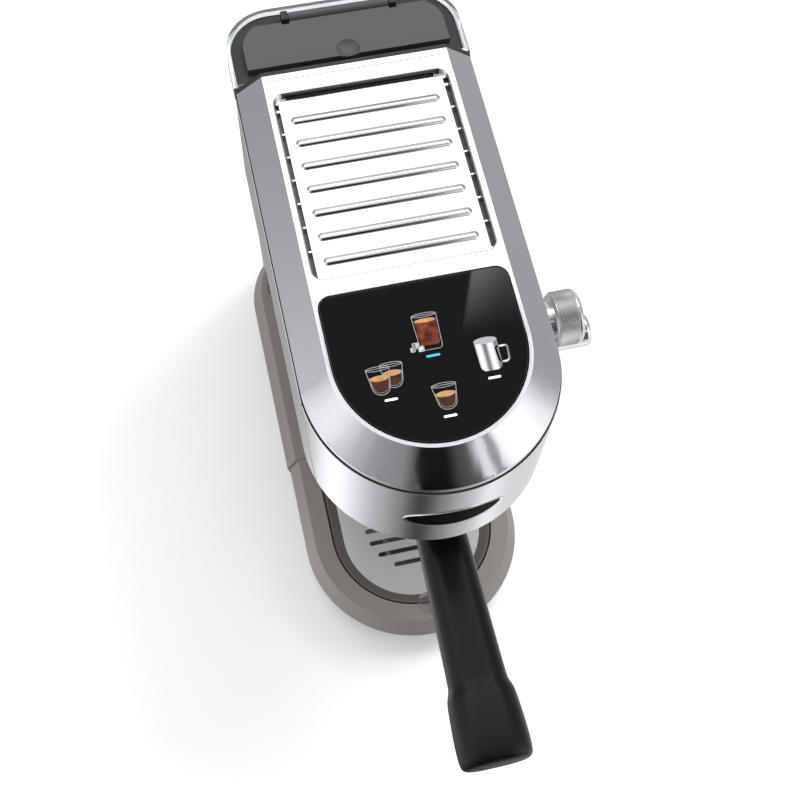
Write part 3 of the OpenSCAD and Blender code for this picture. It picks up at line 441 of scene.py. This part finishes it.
# %% Press the pan
HEAD_TOP, PLATE_FLOOR, PLATE_UNDER = 303.0, 299.0, 297.8
PAN_X, PAN_Y, PAN_CORNER, PAN_EDGE = 50.2, (56.0, 176.0), 6.0, 1.15
FLANGE_X, FLANGE_Y, SHEET = 51.9, (38.0, 185.7), 1.2
DISPLAY_X, DISPLAY_BACK, DISPLAY_CORNER = 51.75, 45.6, 7.3
WIDE, ALL_HEIGHTS = (-60, 60), (290, 310)
plate = block(WIDE, (30.0, 195.0), (PLATE_UNDER, HEAD_TOP))
pocket = block((-PAN_X, PAN_X), PAN_Y, (PLATE_FLOOR, HEAD_TOP + 6))
pick(pocket, "EDGE", upright(pocket))
bpy.ops.mesh.bevel(offset=PAN_CORNER * MM, segments=8)
leave()
cut(plate, pocket)
apply_modifier(plate, "BEVEL", width=PAN_EDGE * MM, segments=5, limit_method="ANGLE",
               angle_limit=math.radians(40))
cut(plate, block((-FLANGE_X, FLANGE_X), FLANGE_Y, ALL_HEIGHTS), "INTERSECT")
behind_display = block((-DISPLAY_X, DISPLAY_X), (0, DISPLAY_BACK), ALL_HEIGHTS)
pick(behind_display, "EDGE", lambda edge: upright(behind_display)(edge)
     and behind_display.data.vertices[edge.vertices[0]].co.y > DISPLAY_BACK / 2 * MM)
bpy.ops.mesh.bevel(offset=DISPLAY_CORNER * MM, segments=8)
leave()
cut(plate, behind_display)
for end in ((30, PAN_Y[0] - SHEET), (PAN_Y[1] + SHEET, 190)):
    cut(plate, block(WIDE, end, (290, HEAD_TOP - SHEET)))

# %% Cut the drain slots
RIBS, RIB_PITCH, RIB_FRONT, RIB_REACH = 7, 15.3, 67.9, 40.3
SLOT_X, SLOT_HALF, SLOT_REACH = 48.9, 1.3, 7.15
FIRST_SLOT_FRONT, LAST_SLOT, REAR_SLOT_X, REAR_SLOT_Y = 59.2, (168.4, 172.2), 43, (174.3, 176)
rib_places = [RIB_FRONT + count * RIB_PITCH for count in range(RIBS)]
runs = [(place - SLOT_REACH, place + SLOT_REACH) for place in rib_places]
runs = [(FIRST_SLOT_FRONT, runs[0][1])] + runs[1:] + [LAST_SLOT]
slots = [block((side * SLOT_X - SLOT_HALF, side * SLOT_X + SLOT_HALF), run, ALL_HEIGHTS)
         for side in (-1, 1) for run in runs]
slots.append(block((-REAR_SLOT_X, REAR_SLOT_X), REAR_SLOT_Y, ALL_HEIGHTS))
cut(plate, join(slots))

# %% A gutter below the slots carries drips away
GUTTER_HALF, GUTTER_Z, GUTTER_WALL, GUTTER_DEEP = 2, (295.2, PLATE_UNDER), 0.5, 1.6
gutter = [block((side * SLOT_X - GUTTER_HALF, side * SLOT_X + GUTTER_HALF), (59, 173), GUTTER_Z)
          for side in (-1, 1)]
gutter.append(block((-45, 45), (171, 178), GUTTER_Z))
for channel in gutter:
    pick(channel, "FACE", lambda face: face.normal.z > 0.9)
    bpy.ops.mesh.inset(thickness=GUTTER_WALL * MM)
    bpy.ops.mesh.extrude_region_move(TRANSFORM_OT_translate={"value": (0, 0, -GUTTER_DEEP * MM)})
    leave()
finish_piece(join(gutter), "drain_gutter", BODY_OF["cup_plate"], "black_plastic",
             finish=GUTTER_GREY)

# %% Raise one rib in small steps, then copy it
RIB_R, RIB_ROOT, RIB_SIDES = 2.9, 0.6, 24
INWARDS_AND_UPWARDS = ((0.35, 0.05), (0.33, 0.16), (0.30, 0.25), (0.30, 0.28), (0.33, 0.21),
                       (0.45, 0.13), (0.45, 0.06))
rib = begin("cylinder", vertices=RIB_SIDES, radius=RIB_R * MM, depth=RIB_ROOT * MM,
            location=(0, RIB_FRONT * MM, (PLATE_FLOOR - RIB_ROOT / 2) * MM),
            rotation=(0, 0, math.pi / RIB_SIDES))   # so that no vertex lies in the middle
for side in (-1, 1):
    pick(rib, "VERT", lambda vertex: vertex.co.x * side > 0)
    bpy.ops.transform.translate(value=(side * RIB_REACH * MM, 0, 0))
    leave()
pick(rib, "FACE", lambda face: face.normal.z > 0.9)
for inwards, upwards in INWARDS_AND_UPWARDS:
    bpy.ops.mesh.inset(thickness=inwards * MM, depth=upwards * MM)
leave()
ribs = [rib] + [copied(rib, (0, count * RIB_PITCH, 0)) for count in range(1, RIBS)]
plate = join([plate] + ribs)
smooth(plate, 35)
finish_piece(plate, "cup_plate_pressed", BODY_OF["cup_plate"], SLOT_OF["cup_plate"],
             ["cup_plate"], POLISHED_PLATE)
print("the cup plate has", len(plate.data.polygons), "faces")

# %% [markdown]
# ## The gap round the grid's frame
# The frame drops loosely into the tray, and the gap round it shows as a dark line. The
# frame's copy is drawn in a little about its own middle, so that the gap is deep and real.

# %% Draw the frame in
GAP_MM = 0.75


def draw_frame_in(piece):
    low, high = (Vector(corner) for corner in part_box("grid_frame"))
    size = high - low
    pick(piece, "VERT", lambda vertex: True)
    bpy.ops.transform.resize(value=(1 - 2 * GAP_MM * MM / size.x, 1 - 2 * GAP_MM * MM / size.y, 1),
                             center_override=(low + high) / 2)
    leave()


# The frame is painted darker as painted shade.
edged("grid_frame", 0.3, finish=PAINTED_SHADE_TAUPE, reshape=draw_frame_in)

# %% [markdown]
# ## The finger scoop of the tray
# A small bowl is scooped out of the tray's rim in front, to hook a finger in. It goes deeper
# than the rim's skin, so a thin spherical shell closes it from below.

# %% Close the bowl
BOWL_AT, BOWL_R, BOWL_SKIN, RIM_Z = (0.0, -61.5, 45.0), 11.0, 1.0, 36.2


def ball(radius):
    return begin("uv_sphere", segments=64, ring_count=32, radius=radius * MM,
                 location=[value * MM for value in BOWL_AT])


bowl = ball(BOWL_R + BOWL_SKIN)
cut(bowl, ball(BOWL_R))
cut(bowl, block((-20, 20), (-80, -40), (RIM_Z, 60)))
smooth(bowl, 40)
finish_piece(bowl, "tray_scoop_bowl", BODY_OF["drip_tray"], SLOT_OF["drip_tray"])

# %% [markdown]
# ## The bezel and its shadow line
# The bright frame round the top doesn't sit flush: its lower edge stands a little inside the
# panels below. A black strip in the step is painted shadow: it draws the thin shadow line all round
# the head.

# %% Draw the bezel's foot in
HEAD_R, HEAD_BACK, FOOT_TOP, FOOT_IN, FOOT_SKIN, BEZEL_EDGE = 70.0, 190.0, 291.7, 0.85, 1.2, 0.12
FOOT_SHARE = (HEAD_R - FOOT_IN) / HEAD_R


def on_the_foot(vertex, drawn=1.0):
    """Is it on the bezel's outer foot? Drawn is how far its width has been drawn in."""
    x, y, z = (value / MM for value in vertex.co)
    reach = abs(x) if y > 0 else math.hypot(x / drawn, y)
    return z < FOOT_TOP and reach > HEAD_R - FOOT_SKIN


def draw_foot_in(piece):
    pick(piece, "VERT", on_the_foot)
    bpy.ops.transform.resize(value=(FOOT_SHARE, 1, 1), center_override=(0, 0, 0))
    leave()
    pick(piece, "VERT", lambda vertex: vertex.co.y < 0 and on_the_foot(vertex, FOOT_SHARE))
    bpy.ops.transform.resize(value=(1, FOOT_SHARE, 1), center_override=(0, 0, 0))
    leave()


edged("top_bezel", BEZEL_EDGE, reshape=draw_foot_in)

# %% Lay a black strip of painted shadow under the foot
SHADOW_STRIP_Z, SHADOW_STRIP_OUTSIDE, SHADOW_STRIP_INSIDE = (287.45, 288.3), HEAD_R - 0.3, HEAD_R - 3.2


def d_block(radius, z_range, back=HEAD_BACK - 0.4):
    """A solid with the plan of the head: round in front, straight sides."""
    depth = z_range[1] - z_range[0]
    body = begin("cylinder", vertices=160, radius=radius * MM, depth=depth * MM,
                 location=(0, 0, sum(z_range) / 2 * MM))
    cut(body, block((-radius, radius), (0, back), z_range), "UNION")
    return body


# Painted shadow: this black strip stands for the shadow line in the step under the bezel's foot.
shadow_strip = d_block(SHADOW_STRIP_OUTSIDE, SHADOW_STRIP_Z)
cut(shadow_strip, d_block(SHADOW_STRIP_INSIDE, (280, 295), 200))
smooth(shadow_strip)
finish_piece(shadow_strip, "seam_painted_shadow", BODY_OF["top_bezel"], "black_rubber")

# %% [markdown]
# ## The handle
# The grip is one smooth moulding that swells towards its butt. A rounded rectangle is drawn
# out through a list of sections, each with its own width and height, and a subdivision
# surface turns the steps between them into one flowing skin.

# %% Draw the grip out section by section
GRIP_Z, GRIP_CORNER = 176.0, 9.5
FORWARD_WIDE_HIGH = (
    (44, 26.5, 22), (45.5, 28.8, 24.2), (49, 29.7, 25.1), (80, 31, 25.7), (115, 32.6, 26.4),
    (144, 34, 27), (147.5, 34.8, 27.4), (151.5, 38.6, 29.6), (156, 40, 30.6), (170, 41.8, 32.4),
    (180, 42.5, 33), (188, 41.9, 32.4), (190.6, 39.6, 30.2), (192, 33, 23.6))
start_y, start_w, start_h = FORWARD_WIDE_HIGH[0]
grip = begin("plane", size=1, location=(0, -start_y * MM, GRIP_Z * MM),
             rotation=(math.pi / 2, 0, 0), scale=(start_w * MM, start_h * MM, 1))
pick(grip, "VERT", lambda vertex: True)
bpy.ops.mesh.bevel(offset=GRIP_CORNER * MM, segments=4, affect="VERTICES")
leave()
pick(grip, "FACE", lambda face: True)
for (y, w, h), (next_y, next_w, next_h) in zip(FORWARD_WIDE_HIGH, FORWARD_WIDE_HIGH[1:]):
    bpy.ops.mesh.extrude_region_move(TRANSFORM_OT_translate={"value": (0, (y - next_y) * MM, 0)})
    bpy.ops.transform.resize(value=(next_w / w, 1, next_h / h),
                             center_override=(0, -next_y * MM, GRIP_Z * MM))
bpy.ops.mesh.select_all(action="SELECT")
bpy.ops.mesh.normals_make_consistent(inside=False)
leave()
apply_modifier(grip, "SUBSURF", levels=2, render_levels=2)
smooth(grip, 60)
finish_piece(grip, "handle_moulding", BODY_OF["handle_grip"], SLOT_OF["handle_grip"],
             ["handle_grip", "handle_cap"])
grip.visible_glossy = False   # so it leaves no dark streak in the bright steel above it

# %% [markdown]
# ## The name plate without a name
# A bare oval plate sits on the front of the head. The frame's plate is copied, and its outer
# face is inset: the ring that is left becomes a bright rim, the middle a black inlay that
# lies a little deeper.

# %% Split the plate into rim and inlay
RIM_WIDTH, RIM_HEIGHT, RIM_EDGE, INLAY_FORWARD = 1.3, 0.45, 0.3, 0.03


def faces_outwards(face):
    outwards = Vector((face.center.x, face.center.y, 0)).normalized()
    return face.normal.dot(outwards) > 0.8


rim = frame_copy("badge_strip")
pick(rim, "VERT", lambda vertex: True)
bpy.ops.mesh.customdata_custom_splitnormals_clear()
bpy.ops.mesh.remove_doubles(threshold=WELD_MM * MM)
leave()
pick(rim, "FACE", faces_outwards)
bpy.ops.mesh.inset(thickness=RIM_WIDTH * MM, depth=0)
bpy.ops.transform.shrink_fatten(value=-RIM_HEIGHT * MM)
bpy.ops.mesh.duplicate()
bpy.ops.mesh.separate(type="SELECTED")
leave()
inlay = [piece for piece in bpy.context.selected_objects if piece is not rim][0]
apply_modifier(rim, "BEVEL", width=RIM_EDGE * MM, segments=3, limit_method="ANGLE",
               angle_limit=math.radians(40))
smooth(rim, 40)
smooth(inlay, 40)
finish_piece(rim, "badge_rim", BODY_OF["badge_strip"], "chrome_plate", ["badge_strip"])
inlay.data.transform(Matrix.Translation((0, -INLAY_FORWARD * MM, 0)))
finish_piece(inlay, "badge_inlay", BODY_OF["badge_strip"], SLOT_OF["badge_strip"])

# %% [markdown]
# ## The knurled knob
# A knurl is a net of tiny diamonds that a wheel presses into the turning knob. A cylinder is
# bisected into fine rings; then every second vertex is pushed out, as on a chessboard, and
# each quad is split along its valley.

# %% Press the diamonds
KNOB_Y, KNOB_Z, KNOB_R = 30.5, 254.0, 16.0
KNURL_START, KNURL_END, AROUND, RINGS = 80.6, 92.9, 120, 15
KNURL_DEEP, CHAMFER, CHAMFER_SHARE = 0.55, 1.2, 0.93
knurl_length, knurl_middle = KNURL_END - KNURL_START, (KNURL_START + KNURL_END) / 2
ring_step = knurl_length / RINGS
knob = begin("cylinder", vertices=AROUND, radius=(KNOB_R - KNURL_DEEP) * MM,
             depth=knurl_length * MM, location=(knurl_middle * MM, KNOB_Y * MM, KNOB_Z * MM),
             rotation=(0, math.pi / 2, 0))
for ring in range(1, RINGS):
    pick(knob, "FACE", lambda face: True)
    bpy.ops.mesh.bisect(plane_co=((KNURL_START + ring * ring_step) * MM, 0, 0), plane_no=(1, 0, 0))
    leave()


def on_a_diamond(vertex):
    ring = round((vertex.co.x / MM - KNURL_START) / ring_step)
    turn = math.atan2(vertex.co.y - KNOB_Y * MM, vertex.co.z - KNOB_Z * MM) / math.tau * AROUND
    return 0 < ring < RINGS and (ring + round(turn)) % 2 == 0


pick(knob, "VERT", on_a_diamond)
bpy.ops.transform.shrink_fatten(value=KNURL_DEEP * MM)
leave()
pick(knob, "FACE", lambda face: abs(face.normal.x) < 0.9)
bpy.ops.mesh.quads_convert_to_tris(quad_method="SHORTEST_DIAGONAL")
leave()
pick(knob, "FACE", lambda face: face.normal.x < -0.9)
bpy.ops.mesh.extrude_region_move(TRANSFORM_OT_translate={"value": (-CHAMFER * MM, 0, 0)})
bpy.ops.transform.resize(value=(1, CHAMFER_SHARE, CHAMFER_SHARE),
                         center_override=(0, KNOB_Y * MM, KNOB_Z * MM))
leave()

# %% Its finish: painted highlight on the crests and painted shade in the valleys
knurled = Finish("knurled steel", srgb(226, 226, 230), 0.24, metallic=1.0)
along, across, up = knurled.axes()
ring_turns = (along - KNURL_START) * (math.pi / ring_step)
angle_turns = (across - KNOB_Y).maths("ARCTAN2", across - KNOB_Y, up - KNOB_Z) * (AROUND / 2)
ring_wave, angle_wave = (turns.maths("COSINE", turns, 0) for turns in (ring_turns, angle_turns))
# Painted light and shade: each diamond's crest is painted bright and its valley dark, following the
# knurl's pitch.
painted_crest_light = ring_wave * angle_wave * 0.5 + 0.5
knurled.set("Base Color", knurled.blend(painted_crest_light ** 0.7, srgb(138, 138, 142), srgb(254, 254, 255)))
finish_piece(knob, "steam_knob_knurled", BODY_OF["steam_knob"], SLOT_OF["steam_knob"],
             ["steam_knob"], knurled)
print("the knurl has", len(knob.data.polygons), "faces")

# %% [markdown]
# ## Four pictures on the display
# Each key shows what it pours: a tall iced glass, two small cups, a milk jug and one cup,
# with a short lit bar below. They are thin plates of print on the glass, cut from planes and
# circles: a plane is tapered, its corners are rounded, and an inset turns it into an outline.

# %% Print shapes
GLASS_TOP, FILM = 303.2, 0.03


def on_glass(x, y, layer):
    """A place on the glass in metres; each layer lies one film above the last."""
    return x * MM, y * MM, (GLASS_TOP + layer * FILM) * MM


def print_plate(x, top, bottom, top_width, bottom_width, corner, layer=1, outline=None,
                upper_corner=0.6):
    """A tapered plate with rounded corners, or only its outline."""
    sheet = begin("plane", size=1, location=on_glass(x, (top + bottom) / 2, layer),
                  scale=(top_width * MM, (top - bottom) * MM, 1))
    middle = (top + bottom) / 2 * MM
    pick(sheet, "VERT", lambda vertex: vertex.co.y < middle)
    bpy.ops.transform.resize(value=(bottom_width / top_width, 1, 1), center_override=(x * MM, 0, 0))
    bpy.ops.mesh.bevel(offset=corner * MM, segments=6, affect="VERTICES")
    leave()
    pick(sheet, "VERT", lambda vertex: vertex.co.y > middle + 0.4 * (top - bottom) * MM)
    bpy.ops.mesh.bevel(offset=upper_corner * MM, segments=3, affect="VERTICES")
    leave()
    return hollow(sheet, outline) if outline else sheet


def hollow(sheet, width):
    pick(sheet, "FACE", lambda face: True)
    bpy.ops.mesh.inset(thickness=width * MM)
    bpy.ops.mesh.delete(type="FACE")
    leave()
    return sheet


def print_oval(x, y, width, height, layer=1, outline=None):
    sheet = begin("circle", vertices=32, radius=0.5, fill_type="NGON",
                  location=on_glass(x, y, layer), scale=(width * MM, height * MM, 1))
    return hollow(sheet, outline) if outline else sheet


BAR_HALF = 0.65


def print_bar(x, y, width):
    return print_plate(x, y + BAR_HALF, y - BAR_HALF, width, width, 0.6)


# %% Draw the pictures
LINE, THIN_LINE, BOLD_LINE = 0.3, 0.2, 0.5
GLASS_CUPS = ((-21.6, 1.5, -13.3, 12.4, 8.2, 1), (-28.9, 0.3, -16.0, 12.8, 8.4, 4),
              (2.4, -15.3, -30.5, 13.2, 8.6, 1))
ICE_CUBES = ((-6.6, 7.6, 3.6), (-4.0, 5.4, 3.4), (-8.4, 5.6, 2.8))
outlines, drinks, creams, silver = [], [], [], []
for x, top, bottom, wide, narrow, layer in GLASS_CUPS:
    deep = top - bottom
    outlines += [print_plate(x, top - 1.2, bottom, wide, narrow, 3.9, layer + 2, LINE),
                 print_oval(x, top - 1.4, wide, 2.8, layer + 2, LINE),
                 print_plate(x, top - deep * 0.36, bottom + 1.2, wide * 0.84, narrow * 0.84,
                             3.3, layer + 2, THIN_LINE)]
    drinks.append(print_plate(x, top - deep * 0.42, bottom + 1.8, wide * 0.76, narrow * 0.78,
                              3.0, layer))
    creams.append(print_oval(x, top - deep * 0.42, wide * 0.77, 3.3, layer + 1))
outlines += [print_plate(1.4, 24.6, 4.0, 13.6, 12.0, 2.0, 3, LINE, 0.4),
             print_oval(1.4, 24.4, 13.6, 2.6, 3, LINE)]
tall = [print_plate(1.4, 21.4, 6.8, 11.6, 10.6, 1.6, 1)]
creams.append(print_oval(1.4, 21.2, 11.5, 2.4, 2))
for x, y, size in ICE_CUBES:
    outlines.append(print_plate(x, y + size / 2, y - size / 2, size, size * 0.94, 0.7, 4,
                                BOLD_LINE))
    silver.append(print_plate(x, y + size / 2 - 0.3, y - size / 2 + 0.3, size - 0.6, size - 0.8,
                              0.5, 3))
silver.append(print_plate(29.4, 3.6, -13.9, 12.2, 11.4, 3.2, 1))
outlines.append(print_oval(29.4, 3.4, 11.6, 3.2, 2))
outlines.append(print_oval(29.4, 3.4, 12.4, 3.9, 3, 0.4))
silver.append(print_plate(36.9, -0.6, -10.6, 7.4, 6.2, 2.6, 1, 1.0, 1.6))
bars = [print_bar(-25.4, -19.2, 6.8), print_bar(29.2, -17.9, 6.8), print_bar(2.0, -34.0, 7.0)]
blue = [print_bar(1.2, 0.6, 7.4)]

# %% Colour the prints
brew = moulded("brewed drink print", (110, 50, 22), 0.3, 0.0, level=0.2)
swirl = (brew.noise(210, 3) * 1.5 - 0.35).clamped()
brew.set("Base Color", brew.blend(swirl, srgb(34, 15, 8), srgb(84, 42, 20)))
iced = moulded("iced drink print", (120, 44, 20), 0.3, 0.0, level=0.2)
ice_glow = (iced.noise(260, 3) * 2.2 - 0.7).clamped()
iced.set("Base Color", iced.blend(ice_glow, srgb(46, 16, 10), srgb(132, 56, 24)))
cream = moulded("cream print", (222, 190, 150), 0.3, 0.0, level=0.2)
froth = (cream.noise(300, 2) * 1.4 - 0.2).clamped()
cream.set("Base Color", cream.blend(froth, srgb(150, 98, 52), srgb(206, 160, 108)))
pewter = moulded("silver print", (170, 171, 175), 0.3, 0.0, level=0.2)
waves = pewter.axes()[0] * 1.05
sheen = (0.5 + 0.5 * waves.maths("SINE", waves, 0)).clamped()
pewter.set("Base Color", pewter.blend(sheen, srgb(96, 97, 102), srgb(224, 225, 228)))
pencil = moulded("pale outline print", (158, 160, 165), 0.3, 0.0, level=0.2)
lit_white = Finish("lit white bar", srgb(240, 240, 240), 0.4, emission_color=(1, 1, 1, 1),
                   emission_strength=0.35)
lit_blue = Finish("lit blue bar", srgb(40, 150, 215), 0.4,
                  emission_color=(*srgb(40, 170, 240), 1), emission_strength=0.55)
PRINTS = (("display_outlines", outlines, pencil), ("display_drinks", drinks, brew),
          ("display_iced_drink", tall, iced), ("display_cream", creams, cream),
          ("display_silver", silver, pewter), ("display_bars", bars, lit_white),
          ("display_blue_bar", blue, lit_blue))
shapes = sum(len(sheets) for _, sheets, _ in PRINTS)
for name, sheets, ink in PRINTS:
    whole = join(sheets)
    apply_modifier(whole, "SOLIDIFY", thickness=0.8 * FILM * MM, offset=-1)
    finish_piece(whole, name, BODY_OF["display_glass"], SLOT_OF["display_glass"], finish=ink)
print("the display carries", shapes, "printed shapes")

# %% [markdown]
# ## The studio
# The machine is lit as in a product studio: a white sweep, one large soft lamp from the right
# and behind, and a wall that only the metal sees. Polished steel shows nothing but its
# surroundings, so the surroundings are modelled: a grey wall with a glow on the left, on the
# right and behind, and a black flag in front. Upright steel mirrors the floor when it is seen
# from above, so the same light and shade lies there too.

# %% Floor and world
WHITE_FLOOR, FLOOR_GLOW = 0.86, 0.14
AMBIENT, SKY_IN_METAL = 0.70, 0.4


def ray_kinds(tree):
    """Is this ray straight from the camera, through glass, or off metal? 1 or 0 each."""
    seen = tree.nodes.new("ShaderNodeLightPath").outputs
    return [Field(tree, seen[kind])
            for kind in ("Is Camera Ray", "Is Transmission Ray", "Is Glossy Ray")]


sweep = Finish("white sweep", (WHITE_FLOOR,) * 3, 0.9, specular_ior_level=0.0,
               emission_strength=1.0)
straight, through_glass, off_metal = ray_kinds(sweep.tree)
sweep.set("Emission Color", (straight + off_metal + through_glass) * FLOOR_GLOW)
bpy.ops.mesh.primitive_plane_add(size=16)
floor = bpy.context.object
floor.name = "floor"
floor.data.materials.append(sweep.material)

world = bpy.data.worlds.new("studio")
bpy.context.scene.world = world
world.use_nodes = True
sky = world.node_tree
background = sky.nodes["Background"]
straight, through_glass, off_metal = ray_kinds(sky)
plug(sky, background.inputs["Strength"], AMBIENT + (straight + through_glass) * (1 - AMBIENT)
     + off_metal * (SKY_IN_METAL - AMBIENT))
background.inputs["Color"].default_value = (1, 1, 1, 1)


# %% Lamps
LAMPS_AIM = (0, 0.05, 0.15)


def lamp(name, at, size, power):
    """A round soft lamp that polished metal doesn't mirror."""
    bpy.ops.object.light_add(type="AREA", location=at)
    light = bpy.context.object
    light.name = name
    light.data.shape, light.data.size, light.data.energy = "DISK", size, power
    light.rotation_mode = "QUATERNION"
    light.rotation_quaternion = (Vector(at) - Vector(LAMPS_AIM)).to_track_quat("Z", "Y")
    light.visible_glossy = False


lamp("key lamp", (1.15, 0.7, 1.9), 1.1, 31)
lamp("overhead lamp", (0.0, 0.7, 2.2), 1.6, 14)
lamp("left fill", (-1.7, -0.3, 0.55), 0.9, 8)


# %% Cards that only the metal sees
WALL_RADIUS, WALL_HEIGHT, CEILING_Z, ROUND = 1.6, 2.0, 1.9, 96


def card_finish(name):
    """Black under any light; what it gives off is set as its Emission Color."""
    return Finish(name, (0, 0, 0), 0.9, specular_ior_level=0.0, emission_strength=1.0)


def hang(name, finish):
    """Names, paints and stages the piece just added, so that only metal mirrors it."""
    piece = bpy.context.object
    piece.name = name
    bpy.ops.object.transform_apply()
    piece.data.materials.append(finish.material)
    piece.visible_camera = piece.visible_diffuse = piece.visible_shadow = False
    piece.visible_transmission = piece.visible_volume_scatter = False


def hang_disc(name, finish, height):
    bpy.ops.mesh.primitive_circle_add(vertices=ROUND, radius=WALL_RADIUS, fill_type="NGON",
                                      location=(0, 0, height))
    hang(name, finish)


def bell(offset, spread, power=2):
    """1 in the middle, falling to nothing; a higher power gives a flatter top."""
    share = offset.maths("ABSOLUTE", offset, 0) * (1 / spread)
    return math.e ** (-1 * share ** power)


def step(value, edge, soft):
    """0 below the edge, 1 above it, with a soft change between."""
    return ((value - edge) * (1 / soft) + 0.5).clamped()


def bearings(finish):
    """Bearing round the machine, 0 in front and +90 on its right, and height above the floor."""
    east, north, up = finish.axes()
    return east.maths("ARCTAN2", east, -1 * north) * (180 / math.pi), up


def surround(finish):
    """The light on the wall: grey, three glows, a black flag in front and a lamp stand.

    Bearings and spreads are in degrees, heights in millimetres.
    """
    bearing, up = bearings(finish)
    from_rear = 180 - bearing.maths("ABSOLUTE", bearing, 0)
    light = 0.33 + step(bearing, 0, 40) * 0.11
    left, right = bell(bearing + 90, 26) * 0.82, bell(bearing - 54, 29, 4) * 0.98
    rear = bell(from_rear, 28) * (0.3 + step(up, 1500, 600) * 0.8)
    flag = step(bearing, -23, 13) * (1 - step(bearing, 26, 5))
    flag = flag * (0.985 - 0.17 * step(bearing, 9, 8))
    lamp_stand = 1 - bell(bearing - 38.5, 4.2) * 0.8
    return (light + left + right + rear) * (1 - flag) * lamp_stand


wall_finish = card_finish("studio wall")
wall_finish.set("Emission Color", surround(wall_finish))
bpy.ops.mesh.primitive_cylinder_add(vertices=ROUND, radius=WALL_RADIUS, depth=WALL_HEIGHT,
                                    end_fill_type="NOTHING", location=(0, 0, WALL_HEIGHT / 2))
hang("studio_wall", wall_finish)

glow_finish = card_finish("studio floor glow")
turn, _ = bearings(glow_finish)
glow = 0.42 + bell(turn + 84, 29) * 0.85 + step(turn, 22, 30) * 0.37 + bell(turn - 42, 12) * 0.25
glow_finish.set("Emission Color", glow * (1 - bell(turn + 13, 17) * 0.82))
hang_disc("studio_floor_glow", glow_finish, MM)

# %% The ceiling that the flat top sees
# Millimetres on the ceiling: the display mirrors the disc of radius REACH round MIDDLE, and
# the cup plate mirrors what lies behind PLATE_FROM.
MIDDLE_X, MIDDLE_Y, REACH, PLATE_FROM, FRONT_ENDS = 265.5, 731.5, 185.5, 880, 350
PLAIN, BRIGHT, WINDOW = 0.15, 1.8, 2.1
GLARE_SLOPE, GLARE_AT, GLARE_FROM = 0.384, 46, 812
ceiling_finish = card_finish("studio ceiling")
over_x, over_y, _ = ceiling_finish.axes()
ahead = over_y - MIDDLE_Y
ahead = ahead.maths("MINIMUM", ahead, 0)
from_display = ((over_x - MIDDLE_X) ** 2 + ahead ** 2) ** 0.5
over_plate, beside = step(over_y, PLATE_FROM, 12), step(from_display, REACH + 8, 8)
behind_front = step(over_y, FRONT_ENDS, 60)
bright = over_plate.maths("MAXIMUM", over_plate, beside) * behind_front
into_glare = over_x - GLARE_SLOPE * over_y - GLARE_AT
window = step(into_glare, 0, 5) * (0.55 + bell(into_glare, 55) * 0.9)
window = window * step(over_y, GLARE_FROM, 136) ** 1.3 * (1 - bright) * behind_front
far_out = step((over_x ** 2 + over_y ** 2) ** 0.5, 1150, 300)
near = 0.2 + step(over_y, 0, 1100) * 0.9
front = (surround(ceiling_finish) * far_out + near * (1 - far_out)) * (1 - behind_front)
ceiling_finish.set("Emission Color",
                   PLAIN * behind_front + bright * BRIGHT + window * WINDOW + front)
hang_disc("studio_ceiling", ceiling_finish, CEILING_Z)

# %% Colour management and the end of the script
bpy.context.scene.view_settings.view_transform = "Standard"
